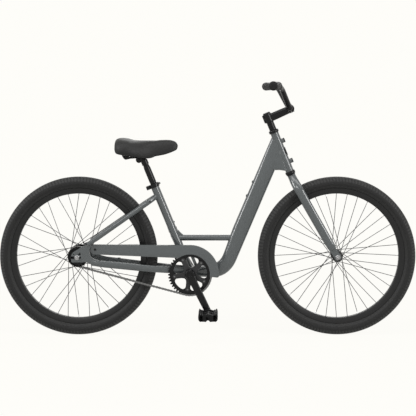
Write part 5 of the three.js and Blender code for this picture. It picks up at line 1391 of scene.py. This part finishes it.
    def crank(self, side, name):
        """One arm with its boss and pedal eye, melted together."""
        foot, foot_radius, boss_radius = (0.0468, 0.0214, 0.0214) if side < 0 else (0.045, 0.0188, 0.021)
        out = Y * side
        eye = X * CRANK_LENGTH
        arm = fused(f"crank_{name}_skin", [
            self.arm_form(side),
            rod("crank_boss", out * foot, out * 0.066, foot_radius, boss_radius, 0.002, 56),
            rod("crank_face", out * 0.060, out * 0.0735, 0.0200, 0.0190, 0.001, 56),
            rod("crank_eye", eye + out * 0.0705, eye + out * 0.0855, 0.0118, chamfer=0.0008)], 0.0011, 5)
        bored(arm, rod("crank_hole", out * 0.0695, out * 0.078, 0.0112))
        settle(arm, ALONG_CRANK if side < 0 else ALONG_CRANK @ Matrix.Rotation(math.pi, 4, "Y"))
        dressed(arm, "crank", "black", (f"crank_arm_{name}",), 38)

    def spindle(self):
        """The axle between the arms and the dust caps over its ends."""
        outline = [(0, 0.0694), (0.0111, 0.0694), (0.0111, 0.0718), (0.0104, 0.0724), (0.0086, 0.0724),
                   (0.0078, 0.0716), (0, 0.0716)]
        caps = [turned("dust_cap", outline, BRACKET, Y * side, 48) for side, _ in SIDES]
        dressed(joined("crank_caps", caps), "crank", "black")
        spindle = rod("crank_spindle", BRACKET - Y * 0.0694, BRACKET + Y * 0.0694, 0.0085, steps=32)
        dressed(spindle, "crank", "dark", ("crank_axle",))

    def pedal(self, side, name):
        """A platform pedal: a barrel, two knobbed treads and their end plates."""
        eye = on_crank(BRACKET, CRANK_ANGLE + (math.pi if side > 0 else 0), CRANK_LENGTH)
        near, far = 0.093, 0.188
        knob_height = 0.0034 if side < 0 else 0.0016
        pieces = []
        for end in (-1, 1):
            lobe = softer([(end * 0.0215, -0.0105), (end * 0.0270, -0.0155), (end * 0.0350, -0.0145),
                           (end * 0.0395, -0.0070), (end * 0.0400, 0.0070), (end * 0.0375, 0.0150),
                           (end * 0.0330, 0.0158), (end * 0.0290, 0.0125), (end * 0.0215, 0.0115)][::end], 0.004)
            pieces += [plate("tread_lobe", [lobe], side * low, side * high, 0.0014, 3)
                       for low, high in ((near, near + 0.026), (near + 0.030, far - 0.030), (far - 0.026, far))]
            for i in range(8):
                y = near + 0.006 + (far - near - 0.012) * i / 7
                for x, z, lean in ((0.0350, 0.0150, 1), (0.0305, -0.0140, -1), (0.0255, 0.0110, 1)):
                    foot = Vector((end * x, side * y, z))
                    pieces.append(rod("tread_knob", foot, foot + Z * lean * knob_height, 0.0022, 0.0016, 0.0004, 10))
        outline = softer([(-0.030, -0.0150), (-0.014, -0.0155), (-0.0075, -0.0165), (-0.0055, -0.0120),
                          (0, -0.0090), (0.0055, -0.0120), (0.0075, -0.0165), (0.014, -0.0155), (0.030, -0.0150),
                          (0.036, 0.0), (0.030, 0.0115), (0.020, 0.0105), (0.0105, 0.0140), (-0.0105, 0.0140),
                          (-0.020, 0.0105), (-0.030, 0.0115), (-0.036, 0.0)], 0.003, 3)
        rib = [(-0.026, -0.0095), (0.026, -0.0095), (0.026, 0.0095), (-0.026, 0.0095)]
        hole = arc((0, 0), 0.0062, 0, 345, 23)
        pieces += [plate("end_plate", [outline, hole], side * near, side * (near + 0.005), 0.0009, 3),
                   plate("end_plate", [outline], side * (far - 0.006), side * far, 0.0009, 3)]
        for y in (near + (far - near) / 3, far - (far - near) / 3):
            pieces.append(plate("cross_rib", [rib], side * (y - 0.002), side * (y + 0.002), 0.0008))
        pieces.append(turned("pedal_barrel", [
            (0.0063, near), (0.0094, near), (0.010, near + 0.0008), (0.0100, near + 0.012), (0.0088, near + 0.020),
            (0.0088, far - 0.020), (0.0100, far - 0.012), (0.0100, far - 0.001), (0.0092, far), (0, far),
            (0, far - 0.006), (0.0063, far - 0.006)], Vector(), Y * side, 40))
        level = 0.0 if side < 0 else SEAT_ANGLE
        body = settle(joined(f"pedal_{name}_skin", pieces),
                      Matrix.Translation(eye) @ Matrix.Rotation(level, 4, "Y"))
        dressed(body, f"{name}_pedal", "plastic", (f"pedal_{name}",))
        pin = turned(f"pedal_pin_{name}", [
            (0, 0.071), (0.0056, 0.071), (0.006, 0.0716), (0.006, 0.0853), (0.0088, 0.0853), (0.009, 0.0857),
            (0.009, 0.0890), (0.0075, 0.0900), (0.0075, 0.0915), (0.006, 0.0927), (0.006, 0.175),
            (0.0055, 0.176), (0, 0.176)], eye, Y * side, 36)
        dressed(pin, "crank", "dark", (f"pedal_axle_{name}",))


# ---------------------------------------------------------------- fork, stem and handlebar

STEM_UP = Vector((math.cos(math.radians(23.3)), 0, math.sin(math.radians(23.3))))
BAR_CENTRE = on_steer(STEM_MIDDLE) + STEM_UP * 0.0986
BAR_BORE = 0.0130
BLADE_FOOT = FORK_RAKE * 0.78


class BIKE_OT_fork(BikeOperator, bpy.types.Operator):
    """Weld the fork and stack the headset"""

    bl_idname = "bike.fork"
    bl_label = "Fork and headset"

    def execute(self, context):
        top = CROWN_TOP - 0.0018
        pieces = [self.blade(side, top) for side, _ in SIDES]
        crown = rod("crown_skin", on_steer(CROWN_BASE + 0.004), on_steer(top), 0.0172, chamfer=0.001, steps=48)
        skin = united("fork_skin", pieces + [crown])
        dressed(skin, "steering", "paint", ("fork_blade_right", "fork_blade_left"), 42)
        modified(skin, "WEIGHTED_NORMAL", keep_sharp=True)
        dressed(joined("fork_ends", [self.fork_end(side) for side, _ in SIDES]), "steering", "paint")
        self.headset()
        return {"FINISHED"}

    def blade(self, side, top):
        """One blade that bends out of the crown and runs down to the axle, cut in the middle plane."""
        corners = [on_steer(CROWN_TOP - 0.008, 0, -side * 0.004), on_steer(CROWN_TOP - 0.008, 0, side * 0.00575),
                   on_steer(CROWN_BASE + 0.0115, 0, side * 0.027),
                   on_steer(CROWN_BASE - 0.027, FORK_RAKE * 0.05, side * 0.0515),
                   on_steer(0.04, BLADE_FOOT, side * 0.055)]
        path = evenly(rounded(corners, [0.004, 0.0115, 0.026]), 64)
        path = [place + STEER_AHEAD * (0.0026 * smoothstep(i / 16) + 0.0008 * smoothstep(i / 32 - 1))
                for i, place in enumerate(path)]
        blade = tube("blade_skin", path,
                     lambda share: 0.0115 - 0.0020 * share - 0.0035 * smoothstep((share - 0.95) / 0.05),
                     lambda share: (0.0165 + 0.0025 * smoothstep(share / 0.2) - 0.0012 * share
                                    - 0.003 * smoothstep((share - 0.96) / 0.04)))
        trimmed(blade, Y * side * -0.0035, Y * -side)
        return trimmed(blade, on_steer(top), STEER_UP)

    def fork_end(self, side):
        """A flattened end with an open slot for the axle."""
        top = on_steer(0.053, BLADE_FOOT)
        low, high = sorted((side * 0.050, side * 0.055))
        tip = plate("fork_end", [bar_outline((FRONT_AXLE.x, FRONT_AXLE.z), 0.0150, (top.x, top.z), 0.0120, 18)],
                    low, high, 0.0009, 3)
        place = on_steer(-0.0120, FORK_RAKE, side * 0.0525)
        return bored(tip, block("fork_slot", standing(place, STEER_UP), (0.0096, 0.012, 0.0336)))

    def headset(self):
        """Cups on the frame; steerer, race and spacers on the steering."""
        inner = STEERER_RADIUS + FIT
        cup = [(inner, 0.0134), (0.0150, 0.0134), (0.0185, 0.0128), (0.0206, 0.0110), (0.0213, 0.0085),
               (0.0213, 0.0040), (0.0208, 0.0032), (0.0208, 0.0022), (0.0213, 0.0014), (0.0210, 0.0004),
               (0.0205, 0.0), (inner, 0.0)]
        for name, level, way in (("upper", HEAD_TOP + FIT, STEER_UP), ("lower", HEAD_FOOT - FIT, -STEER_UP)):
            dressed(turned(f"cup_{name}_skin", cup, on_steer(level), way), "frame", "black",
                    (f"headset_cup_{name}",))
        foot, top = CROWN_BASE + 0.001, CAP_FOOT - FIT
        steerer = turned("steerer_skin", [
            (0, foot), (STEERER_RADIUS, foot), (STEERER_RADIUS, CROWN_TOP - 0.0017), (0.0192, CROWN_TOP - 0.0017),
            (0.0198, CROWN_TOP - 0.0012), (0.0198, CROWN_TOP - 0.0005), (0.0192, CROWN_TOP),
            (STEERER_RADIUS, CROWN_TOP), (STEERER_RADIUS, top), (0, top)], STEER_FOOT, STEER_UP, 48)
        dressed(steerer, "steering", "dark", ("fork_steerer",))
        heights = [SPACER_FOOT + height for height in (0.0, 0.006, 0.016, 0.026, 0.034)]
        rings = [turned("spacer", [(inner, low), (0.0147, low), (0.0152, low + 0.0005), (0.0152, high - 0.0005),
                                   (0.0147, high), (inner, high)], STEER_FOOT, STEER_UP, 56)
                 for low, high in zip(heights, heights[1:])]
        dressed(joined("spacer_rings", rings), "steering", "black", ("headset_spacers",))


def grip_line(side, reach):
    """A place along the grip's straight axis from its bend."""
    bend = BAR_CENTRE + Vector((-0.056, side * 0.168, 0.095))
    sweep = math.radians(12)
    return bend + Vector((-math.sin(sweep), side * math.cos(sweep), 0)) * reach


class BIKE_OT_cockpit(BikeOperator, bpy.types.Operator):
    """Make the stem, handlebar and grips"""

    bl_idname = "bike.cockpit"
    bl_label = "Stem, handlebar and grips"

    def execute(self, context):
        self.stem()
        self.stem_fittings()
        self.handlebar()
        for side, name in SIDES:
            self.grip(side, name)
        return {"FINISHED"}

    def stem(self):
        """A forged stem, split into its body and its face plate."""
        lower = ahead_of(STEM_UP) * 0.003
        body = fused("stem_body", [
            rod("stem_clamp", on_steer(STEM_FOOT + FIT), on_steer(CAP_FOOT - FIT), 0.0175, chamfer=0.0012, steps=56),
            tube("stem_arm", evenly([on_steer(STEM_MIDDLE) + lower, BAR_CENTRE - STEM_UP * 0.008 + lower * 0.7], 20),
                 lambda share: 0.0150 - 0.0012 * math.sin(math.pi * share) ** 2,
                 lambda share: 0.0178 - 0.0018 * share, 44, power=2.5),
            rod("stem_hold", BAR_CENTRE - Y * 0.022, BAR_CENTRE + Y * 0.022, 0.0186, chamfer=0.0015, steps=56),
            rod("stem_ear", on_steer(STEM_FOOT + 0.003, -0.016), on_steer(CAP_FOOT - 0.003, -0.016), 0.0065,
                chamfer=0.001, steps=32)], 0.0011, 6)
        bored(body, rod("steerer_bore", on_steer(STEM_FOOT - 0.005), on_steer(CAP_FOOT + 0.005), BAR_BORE,
                        steps=48))
        bored(body, rod("bar_bore", BAR_CENTRE - Y * 0.03, BAR_CENTRE + Y * 0.03, BAR_BORE, steps=48))
        only(body)
        bpy.ops.object.duplicate()
        face = named(bpy.context.object, "face_plate")
        trimmed(body, BAR_CENTRE - STEM_UP * 0.001, STEM_UP)
        trimmed(face, BAR_CENTRE + STEM_UP * 0.001, -STEM_UP)
        self.keep_round_bar(face)
        dressed(body, "steering", "black", ("stem",), 40)
        dressed(face, "steering", "black", ("stem_face_plate",), 40)

    def keep_round_bar(self, obj):
        """Keep only what lies round the handlebar."""
        only(obj)
        for vertex in obj.data.vertices:
            vertex.select = (vertex.co - BAR_CENTRE).length > 0.034
        for item in list(obj.data.edges) + list(obj.data.polygons):
            item.select = False
        bpy.ops.object.mode_set(mode="EDIT")
        bpy.ops.mesh.select_mode(type="VERT")
        bpy.ops.mesh.delete(type="VERT")
        bpy.ops.object.mode_set(mode="OBJECT")

    def stem_fittings(self):
        """The face plate's four bolts, the pinch bolts and the top cap."""
        across = Vector((-STEM_UP.z, 0, STEM_UP.x))
        bolts = []
        for y in (-0.014, 0.014):
            for up in (-0.0145, 0.0145):
                place = BAR_CENTRE + across * up + Y * y + STEM_UP * 0.0098
                bolts.append(bolt("face_bolt", place, STEM_UP, 0.0036, 0.0034, 0.55))
        for up in (0.011, 0.029):
            for side, _ in SIDES:
                place = on_steer(STEM_FOOT + up, -0.0185, side * 0.006)
                bolts.append(bolt("pinch_bolt", place, Y * side, 0.0034, 0.0028, 0.55))
        dressed(joined("stem_bolts", bolts), "steering", "dark")
        cap = turned("top_cap_skin", [(0, 0), (0.0150, 0), (0.0155, 0.0004), (0.0153, 0.0024), (0.0140, 0.0037),
                                      (0.0120, 0.0040), (0.0048, 0.0040), (0.0044, 0.0018), (0, 0.0018)],
                     on_steer(CAP_FOOT), STEER_UP, 56)
        screw = bolt("cap_screw", on_steer(CAP_FOOT + 0.0016), STEER_UP, 0.0038, 0.0020)
        dressed(joined("stem_cap", [cap, screw]), "steering", "black", ("stem_top_cap",))

    def handlebar(self):
        """One bent bar, thicker where the stem holds it."""
        def half(side):
            bends = ((0, 0.026, 0), (-0.0095, 0.046, 0.019), (-0.041, 0.120, 0.0855))
            return ([BAR_CENTRE + Vector((x, side * y, z)) for x, y, z in bends]
                    + [grip_line(side, 0.0), grip_line(side, 0.147)])

        trims = [0.017, 0.019, 0.0115, 0.0115]
        path = rounded(half(-1)[::-1] + half(1), trims + trims[::-1])
        length = reaches(path)[-1]

        def radius(share):
            past_hold = abs(share - 0.5) * length - 0.0316
            return 0.0111 + 0.0016 * (1 - smoothstep(past_hold / 0.012))

        bar = tube("bar_skin", evenly(path, 190), radius, sideways=X)
        dressed(bar, "steering", "black", ("handlebar",), 50)

    def grip(self, side, name):
        """A ribbed grip with a flange at its inner end and a rounded closed end."""
        axis = (grip_line(side, 1) - grip_line(side, 0)).normalized()
        outline = [(0.0114, 0.0), (0.0158, 0.0), (0.0172, 0.0006), (0.0176, 0.0018), (0.0174, 0.0034),
                   (0.0164, 0.0046), (0.0160, 0.006)]
        ribs = 15
        step = 0.104 / ribs
        for i in range(ribs):
            low = 0.008 + step * i
            swell = 0.0158 + 0.0014 * smoothstep(i / ribs)
            outline += [(swell, low), (swell + 0.0007, low + step * 0.2), (swell + 0.0007, low + step * 0.7),
                        (swell, low + step * 0.9)]
        outline += [(0.0172, 0.114), (0.0181, 0.118), (0.0186, 0.123), (0.0185, 0.1285), (0.0176, 0.1322),
                    (0.0158, 0.1341), (0.010, 0.1346), (0.0, 0.1346), (0.0, 0.1305), (0.0114, 0.1305)]
        grip = turned(f"grip_{name}_skin", outline, grip_line(side, 0.0173), axis, 56)
        dressed(grip, "steering", "grip", (f"grip_{name}",), 50)


# ---------------------------------------------------------------- seat

POST_TOP = SEAT_LENGTH + 0.124
BOLT_SETBACK = 0.017
CLAMP_BOLT = on_seat(POST_TOP + 0.003) - X * BOLT_SETBACK
NOSE_REACH = 0.1468
SADDLE_LENGTH = 0.267
SADDLE_HALF_WIDTH = 0.1
SADDLE_HEIGHT = 0.089
SADDLE_FLOOR = CLAMP_BOLT.z + 0.003
SADDLE_NOSE = CLAMP_BOLT.x + BOLT_SETBACK + NOSE_REACH
RAIL_RADIUS = 0.0035
RAIL_Z = CLAMP_BOLT.z + 0.0085
# Along from the nose, half width, top, skirt and underside, as shares of the saddle's sizes
SADDLE_SHARES = [
    (0, 0.09, 0.62, 0.50, 0.56), (0.02, 0.16, 0.745, 0.40, 0.56), (0.06, 0.22, 0.835, 0.325, 0.56),
    (0.13, 0.25, 0.89, 0.24, 0.52), (0.22, 0.28, 0.905, 0.16, 0.46), (0.34, 0.34, 0.895, 0.10, 0.41),
    (0.44, 0.44, 0.885, 0.05, 0.38), (0.53, 0.58, 0.875, 0, 0.37), (0.62, 0.76, 0.87, 0.07, 0.38),
    (0.70, 0.90, 0.89, 0.11, 0.42), (0.79, 0.98, 0.96, 0.155, 0.46), (0.88, 0.97, 0.985, 0.185, 0.48),
    (0.95, 0.86, 0.945, 0.23, 0.50), (0.985, 0.74, 0.85, 0.30, 0.54), (1, 0.64, 0.70, 0.42, 0.58)]
# Out from the middle and up from the skirt, as shares of the half width and of the padding's height
CROWN_SHARES = [(0.90, 0), (1, 0.16), (1, 0.36), (0.955, 0.60), (0.84, 0.80), (0.62, 0.93), (0.32, 0.99)]
# Shares of the saddle's length between which the rails and the base run
RAIL_RUN = (0.13, 0.88)
BASE_RUN = (0.06, 0.95)


def saddle_row(run):
    """The place, half width, top, skirt and underside of the saddle at a share of its length."""
    rows = [SADDLE_SHARES[0], *SADDLE_SHARES, SADDLE_SHARES[-1]]
    i = next(i for i in range(1, len(rows) - 2) if run <= rows[i + 1][0] or i == len(rows) - 3)
    before, low, high, after = rows[i - 1:i + 3]
    span = high[0] - low[0]
    t = (run - low[0]) / span

    def eased(k):
        start = (high[k] - before[k]) / (high[0] - before[0]) * span
        end = (after[k] - low[k]) / (after[0] - low[0]) * span
        return (low[k] * (2 * t ** 3 - 3 * t * t + 1) + start * (t ** 3 - 2 * t * t + t)
                + high[k] * (3 * t * t - 2 * t ** 3) + end * (t ** 3 - t * t))

    levels = (SADDLE_FLOOR + SADDLE_HEIGHT * eased(k) for k in (2, 3, 4))
    return SADDLE_NOSE - run * SADDLE_LENGTH, eased(1) * SADDLE_HALF_WIDTH, *levels


class BIKE_OT_seat(BikeOperator, bpy.types.Operator):
    """Make the seatpost, clamp, rails, base and padded cover"""

    bl_idname = "bike.seat"
    bl_label = "Seat"

    def execute(self, context):
        foot = SEAT_LENGTH - 0.15
        rim = SEAT_TOP + 0.006
        taper = POST_TOP - 0.038
        post = turned("post_skin", [
            (0, foot), (0.0131, foot), (0.0136, foot + 0.0005), (0.0136, rim), (0.0142, rim + 0.003),
            (0.0142, taper), (0.0139, taper + 0.002), (0.0118, POST_TOP - 0.022), (0.0112, POST_TOP - 0.018),
            (0.0110, POST_TOP - 0.0006), (0.0104, POST_TOP), (0, POST_TOP)], BRACKET, SEAT_UP, 56)
        dressed(post, "seat", "black", ("seat_post",))
        self.clamp()
        self.rails()
        self.base()
        self.cushion()
        return {"FINISHED"}

    def clamp(self):
        """The band, toothed cheeks and through bolt that hold the rails."""
        pieces = [turned("clamp_band", mirrored([(0.0113, -0.0107), (0.0142, -0.0107), (0.0148, -0.0100)]),
                         on_seat(POST_TOP - 0.011), SEAT_UP, 44)]
        cheek = [(0.0048, 0.0160), (0.0125, 0.0160), (0.0135, 0.0168), (0.0135, 0.0208), (0.0128, 0.0214),
                 (0.0128, 0.0226), (0.0135, 0.0232), (0.0135, 0.0268), (0.0120, 0.0280), (0.0048, 0.0280)]
        pieces += [turned("clamp_cheek", cheek, CLAMP_BOLT, Y * side, 48) for side, _ in SIDES]
        neck = rounded([on_seat(POST_TOP - 0.010), on_seat(POST_TOP + 0.006) - X * 0.002,
                        CLAMP_BOLT + X * 0.002 - Z * 0.002], [0.010], 8)
        pieces.append(tube("clamp_neck", evenly(neck, 16), lambda share: 0.0138 + 0.0012 * share,
                           lambda share: 0.0138 - 0.0025 * share, 36, power=2.4))
        dressed(joined("clamp_skin", pieces), "seat", "black", ("saddle_clamp",))
        nuts = [settle(plate("clamp_nut", [arc((0, 0), 0.0066, 0, 300, 5)], side * 0.0281, side * 0.0325),
                       Matrix.Translation(CLAMP_BOLT)) for side, _ in SIDES]
        nuts.append(rod("clamp_thread", CLAMP_BOLT - Y * 0.033, CLAMP_BOLT + Y * 0.033, 0.0036, steps=20))
        dressed(joined("clamp_nuts", nuts), "seat", "dark")

    def rails(self):
        """One bent rod under the saddle."""
        (nose_x, *_, nose_under), (rear_x, *_, rear_under) = (saddle_row(run) for run in RAIL_RUN)
        reach = RAIL_RADIUS + FIT + 0.004

        def rail(side):
            return [Vector((x, side * y, z)) for x, y, z in (
                (rear_x, 0.042, rear_under - reach), (rear_x + 0.0035, 0.042, RAIL_Z + 0.011),
                (CLAMP_BOLT.x - 0.058, 0.034, RAIL_Z - 0.0055), (CLAMP_BOLT.x - 0.032, 0.022, RAIL_Z),
                (CLAMP_BOLT.x + NOSE_REACH / 3, 0.022, RAIL_Z), (nose_x - 0.0105, 0.011, nose_under - reach))]

        right, left = rail(-1), rail(1)
        trims = [0.005, 0.007, 0.010, 0.014]
        nose = rounded([right[-1], Vector((nose_x, 0, nose_under - reach)), left[-1]], [0.008], 8)
        path = rounded(right, trims, 8)[:-1] + nose + rounded(left, trims, 8)[::-1][1:]
        rails = tube("rail_rod", evenly(path, 150), RAIL_RADIUS, sides=24, sideways=Y + X * 0.02)
        dressed(rails, "seat", "black", ("saddle_rails",), 60)

    def base(self):
        """The moulded shell under the padding."""
        start, end = BASE_RUN
        steps = 30
        rings = []
        for i in range(steps + 1):
            x, half, _, _, under = saddle_row(start + (end - start) * i / steps)
            rings.append(oval(Vector((x, 0, under - 0.0023)), Y, Z, half * 0.62, 0.002, 32, 5))
        pieces = [soften(skinned("base_shell", rings), 0.0005)]
        for side, _ in SIDES:
            for behind, reach in ((0.054, 0.034), (0.030, 0.026)):
                x, y = CLAMP_BOLT.x - behind, side * reach
                pieces.append(rod("base_pad", Vector((x, y, RAIL_Z - RAIL_RADIUS)), Vector((x, y, RAIL_Z + 0.034)),
                                  0.0085, 0.0100, 0.002, 28))
        dressed(joined("base_shell", pieces), "seat", "plastic", ("saddle_base",), 45)

    def cushion(self):
        """The padded cover, swollen by a pressure cloth over a firm form."""
        steps = 64
        rings = []
        for i in range(steps + 1):
            x, half, top, skirt, under = saddle_row((1 - math.cos(math.pi * i / steps)) / 2)
            crown = [(half * out, skirt + (top - skirt) * up) for out, up in CROWN_SHARES]
            section = [*((-y, z) for y, z in crown), (0.0, top), *reversed(crown), (half * 0.8, skirt),
                       (half * 0.7, under), (0.0, under), (-half * 0.7, under), (-half * 0.8, skirt)]
            rings.append([Vector((x, y, z)) for y, z in section])
        pad = skinned("cushion_cover", rings)
        modified(pad, "SUBSURF", levels=1, render_levels=1)
        self.swell(pad, 0.003)
        modified(pad, "SUBSURF", levels=1, render_levels=1)
        dressed(pad, "seat", "vinyl", ("saddle_cushion",), 80)

    def swell(self, obj, cap):
        """Let the cover swell a little under pressure, no point further than a cap."""
        start = [vertex.co.copy() for vertex in obj.data.vertices]
        only(obj)
        bpy.ops.object.modifier_add(type="CLOTH")
        cloth = obj.modifiers[-1]
        for key, value in (("use_pressure", True), ("uniform_pressure_force", 4), ("quality", 6),
                           ("tension_stiffness", 60), ("compression_stiffness", 60), ("bending_stiffness", 12)):
            setattr(cloth.settings, key, value)
        cloth.settings.effector_weights.gravity = 0
        scene = bpy.context.scene
        for number in range(1, 21):
            scene.frame_set(number)
        bpy.ops.object.modifier_apply(modifier=cloth.name)
        scene.frame_set(1)
        for vertex, place in zip(obj.data.vertices, start):
            way = vertex.co - place
            if way.length > cap:
                vertex.co = place + way.normalized() * cap
        modified(obj, "SMOOTH", factor=0.5, iterations=12)


# ---------------------------------------------------------------- stage

PALE = (0.991, 0.982, 0.945, 1)
# Name, place, height of the goal, size and power of each soft light
LAMPS = (
    ("overhead_strip", (0.0, -0.9, 2.9), 0.6, (3.6, 0.8), 36),
    ("front_end_box", (4.2, -3.0, 2.4), 0.6, (1.8, 2.6), 150),
    ("rear_end_box", (-4.6, -1.7, 2.6), 0.6, (1.6, 2.4), 130),
    ("front_soft", (-1.6, -3.3, 3.0), 0.5, (1.6, 0.9), 34),
    ("rear_soft", (0.8, 3.8, 2.6), 0.6, (3.4, 1.6), 50))
# The photograph's width in pixels, the pixel where the frame's origin lies in it, and a pixel's size
PHOTO_WIDTH = 416
PHOTO_ORIGIN = (207.75, 334.12)
PIXEL = 0.004232


def seen_share(finish):
    """One for rays from the camera, from gloss and through glass, else zero."""
    camera, gloss, glass = (finish.node("ShaderNodeLightPath", output=key)
                            for key in ("Is Camera Ray", "Is Glossy Ray", "Is Transmission Ray"))
    return (camera + gloss + glass).at_most(1.0)


def placed(name, data, place, turn):
    """A lamp or a camera at its place."""
    obj = bpy.data.objects.new(name, data)
    bpy.context.collection.objects.link(obj)
    obj.location = place
    obj.rotation_euler = turn
    return obj


class BIKE_OT_stage(BikeOperator, bpy.types.Operator):
    """Set the pale floor, the soft lights and the camera"""

    bl_idname = "bike.stage"
    bl_label = "Stage"

    def execute(self, context):
        scene = bpy.context.scene
        scene.view_settings.view_transform = "Standard"
        self.floor()
        self.world(scene)
        for name, place, goal_height, size, power in LAMPS:
            self.lamp(name, Vector(place), Vector((0, 0, goal_height)), size, power)
        self.camera(scene)
        return {"FINISHED"}

    def floor(self):
        """A pale floor that the camera sees nearly white."""
        clear_selection()
        bpy.ops.mesh.primitive_plane_add(size=40, location=(0, 0, 0))
        floor = named(bpy.context.object, "floor")
        finish, spot, (x, y, _) = new_finish("pale_floor")
        dusty = finish.blend(finish.noise(spot, 3, 2), (0.80, 0.795, 0.77, 1), (0.82, 0.815, 0.79, 1))
        lit = finish.node("ShaderNodeBsdfDiffuse", None, {"Color": dusty})
        plain = finish.node("ShaderNodeEmission", None, {"Color": PALE, "Strength": 1.0})
        far = finish.rise((x * x + y * y).root(), 1.0, 3.0)
        surface = finish.node("ShaderNodeMixShader", None,
                              {0: seen_share(finish) * (far * 0.04 + 0.96), 1: lit, 2: plain})
        finish.node("ShaderNodeOutputMaterial", None, {"Surface": surface})
        floor.data.materials.append(finish.owner)

    def world(self, scene):
        """A pale surround that the camera and gloss see as white."""
        finish = Finish(bpy.data.worlds.new("pale_surround"))
        scene.world = finish.owner
        strength = seen_share(finish) * 0.7 + 0.3
        back = finish.node("ShaderNodeBackground", None, {"Color": PALE, "Strength": strength})
        finish.node("ShaderNodeOutputWorld", None, {"Surface": back})

    def lamp(self, name, place, goal, size, power):
        """A rectangular soft light that faces a goal."""
        data = bpy.data.lights.new(name, "AREA")
        data.shape = "RECTANGLE"
        data.size, data.size_y = size
        data.energy = power
        placed(name, data, place, (goal - place).to_track_quat("-Z", "Y").to_euler())

    def camera(self, scene):
        """A level camera on the chain's side, shifted down as the photograph's framing needs."""
        distance = 4.2
        height = 1.033
        aside = 0.052
        sensor = 36
        view_width = PHOTO_WIDTH * PIXEL
        data = bpy.data.cameras.new("camera")
        data.sensor_width = sensor
        data.lens = sensor * distance / view_width
        data.shift_x = ((PHOTO_WIDTH / 2 - PHOTO_ORIGIN[0]) * PIXEL - aside) / view_width
        data.shift_y = ((PHOTO_ORIGIN[1] - PHOTO_WIDTH / 2) * PIXEL - height) / view_width
        scene.camera = placed("camera", data, (aside, -distance, height), (math.pi / 2, 0, 0))


class BIKE_PT_panel(bpy.types.Panel):
    """Steps of the bicycle, in order"""

    bl_idname = "BIKE_PT_panel"
    bl_label = "Step-through bicycle"
    bl_space_type = "VIEW_3D"
    bl_region_type = "UI"
    bl_category = "Bicycle"

    def draw(self, context):
        layout = self.layout
        for group in (context.scene.bike_colours, context.scene.bike_sizes):
            column = layout.column()
            for key in type(group).__annotations__:
                column.prop(group, key)
        for step in STEPS:
            layout.operator(step.bl_idname)


STEPS = (BIKE_OT_finishes, BIKE_OT_frame, BIKE_OT_guard, BIKE_OT_clamp, BIKE_OT_brake, BIKE_OT_wheels,
         BIKE_OT_axles, BIKE_OT_drive, BIKE_OT_fork, BIKE_OT_cockpit, BIKE_OT_seat, BIKE_OT_stage)
CLASSES = (BikeColours, BikeSizes, *STEPS, BIKE_PT_panel)


def register():
    """Register the classes and hang the settings on the scene."""
    for item in CLASSES:
        bpy.utils.register_class(item)
    bpy.types.Scene.bike_colours = bpy.props.PointerProperty(type=BikeColours)
    bpy.types.Scene.bike_sizes = bpy.props.PointerProperty(type=BikeSizes)


def unregister():
    """Take the settings and the classes away again."""
    del bpy.types.Scene.bike_sizes
    del bpy.types.Scene.bike_colours
    for item in reversed(CLASSES):
        bpy.utils.unregister_class(item)


def main():
    """Build the whole bicycle."""
    register()
    bpy.ops.bike.finishes()
    bpy.ops.bike.frame()
    bpy.ops.bike.guard()
    bpy.ops.bike.clamp()
    bpy.ops.bike.brake()
    bpy.ops.bike.wheels()
    bpy.ops.bike.axles()
    bpy.ops.bike.drive()
    bpy.ops.bike.fork()
    bpy.ops.bike.cockpit()
    bpy.ops.bike.seat()
    bpy.ops.bike.stage()


if __name__ == "__main__":
    main()
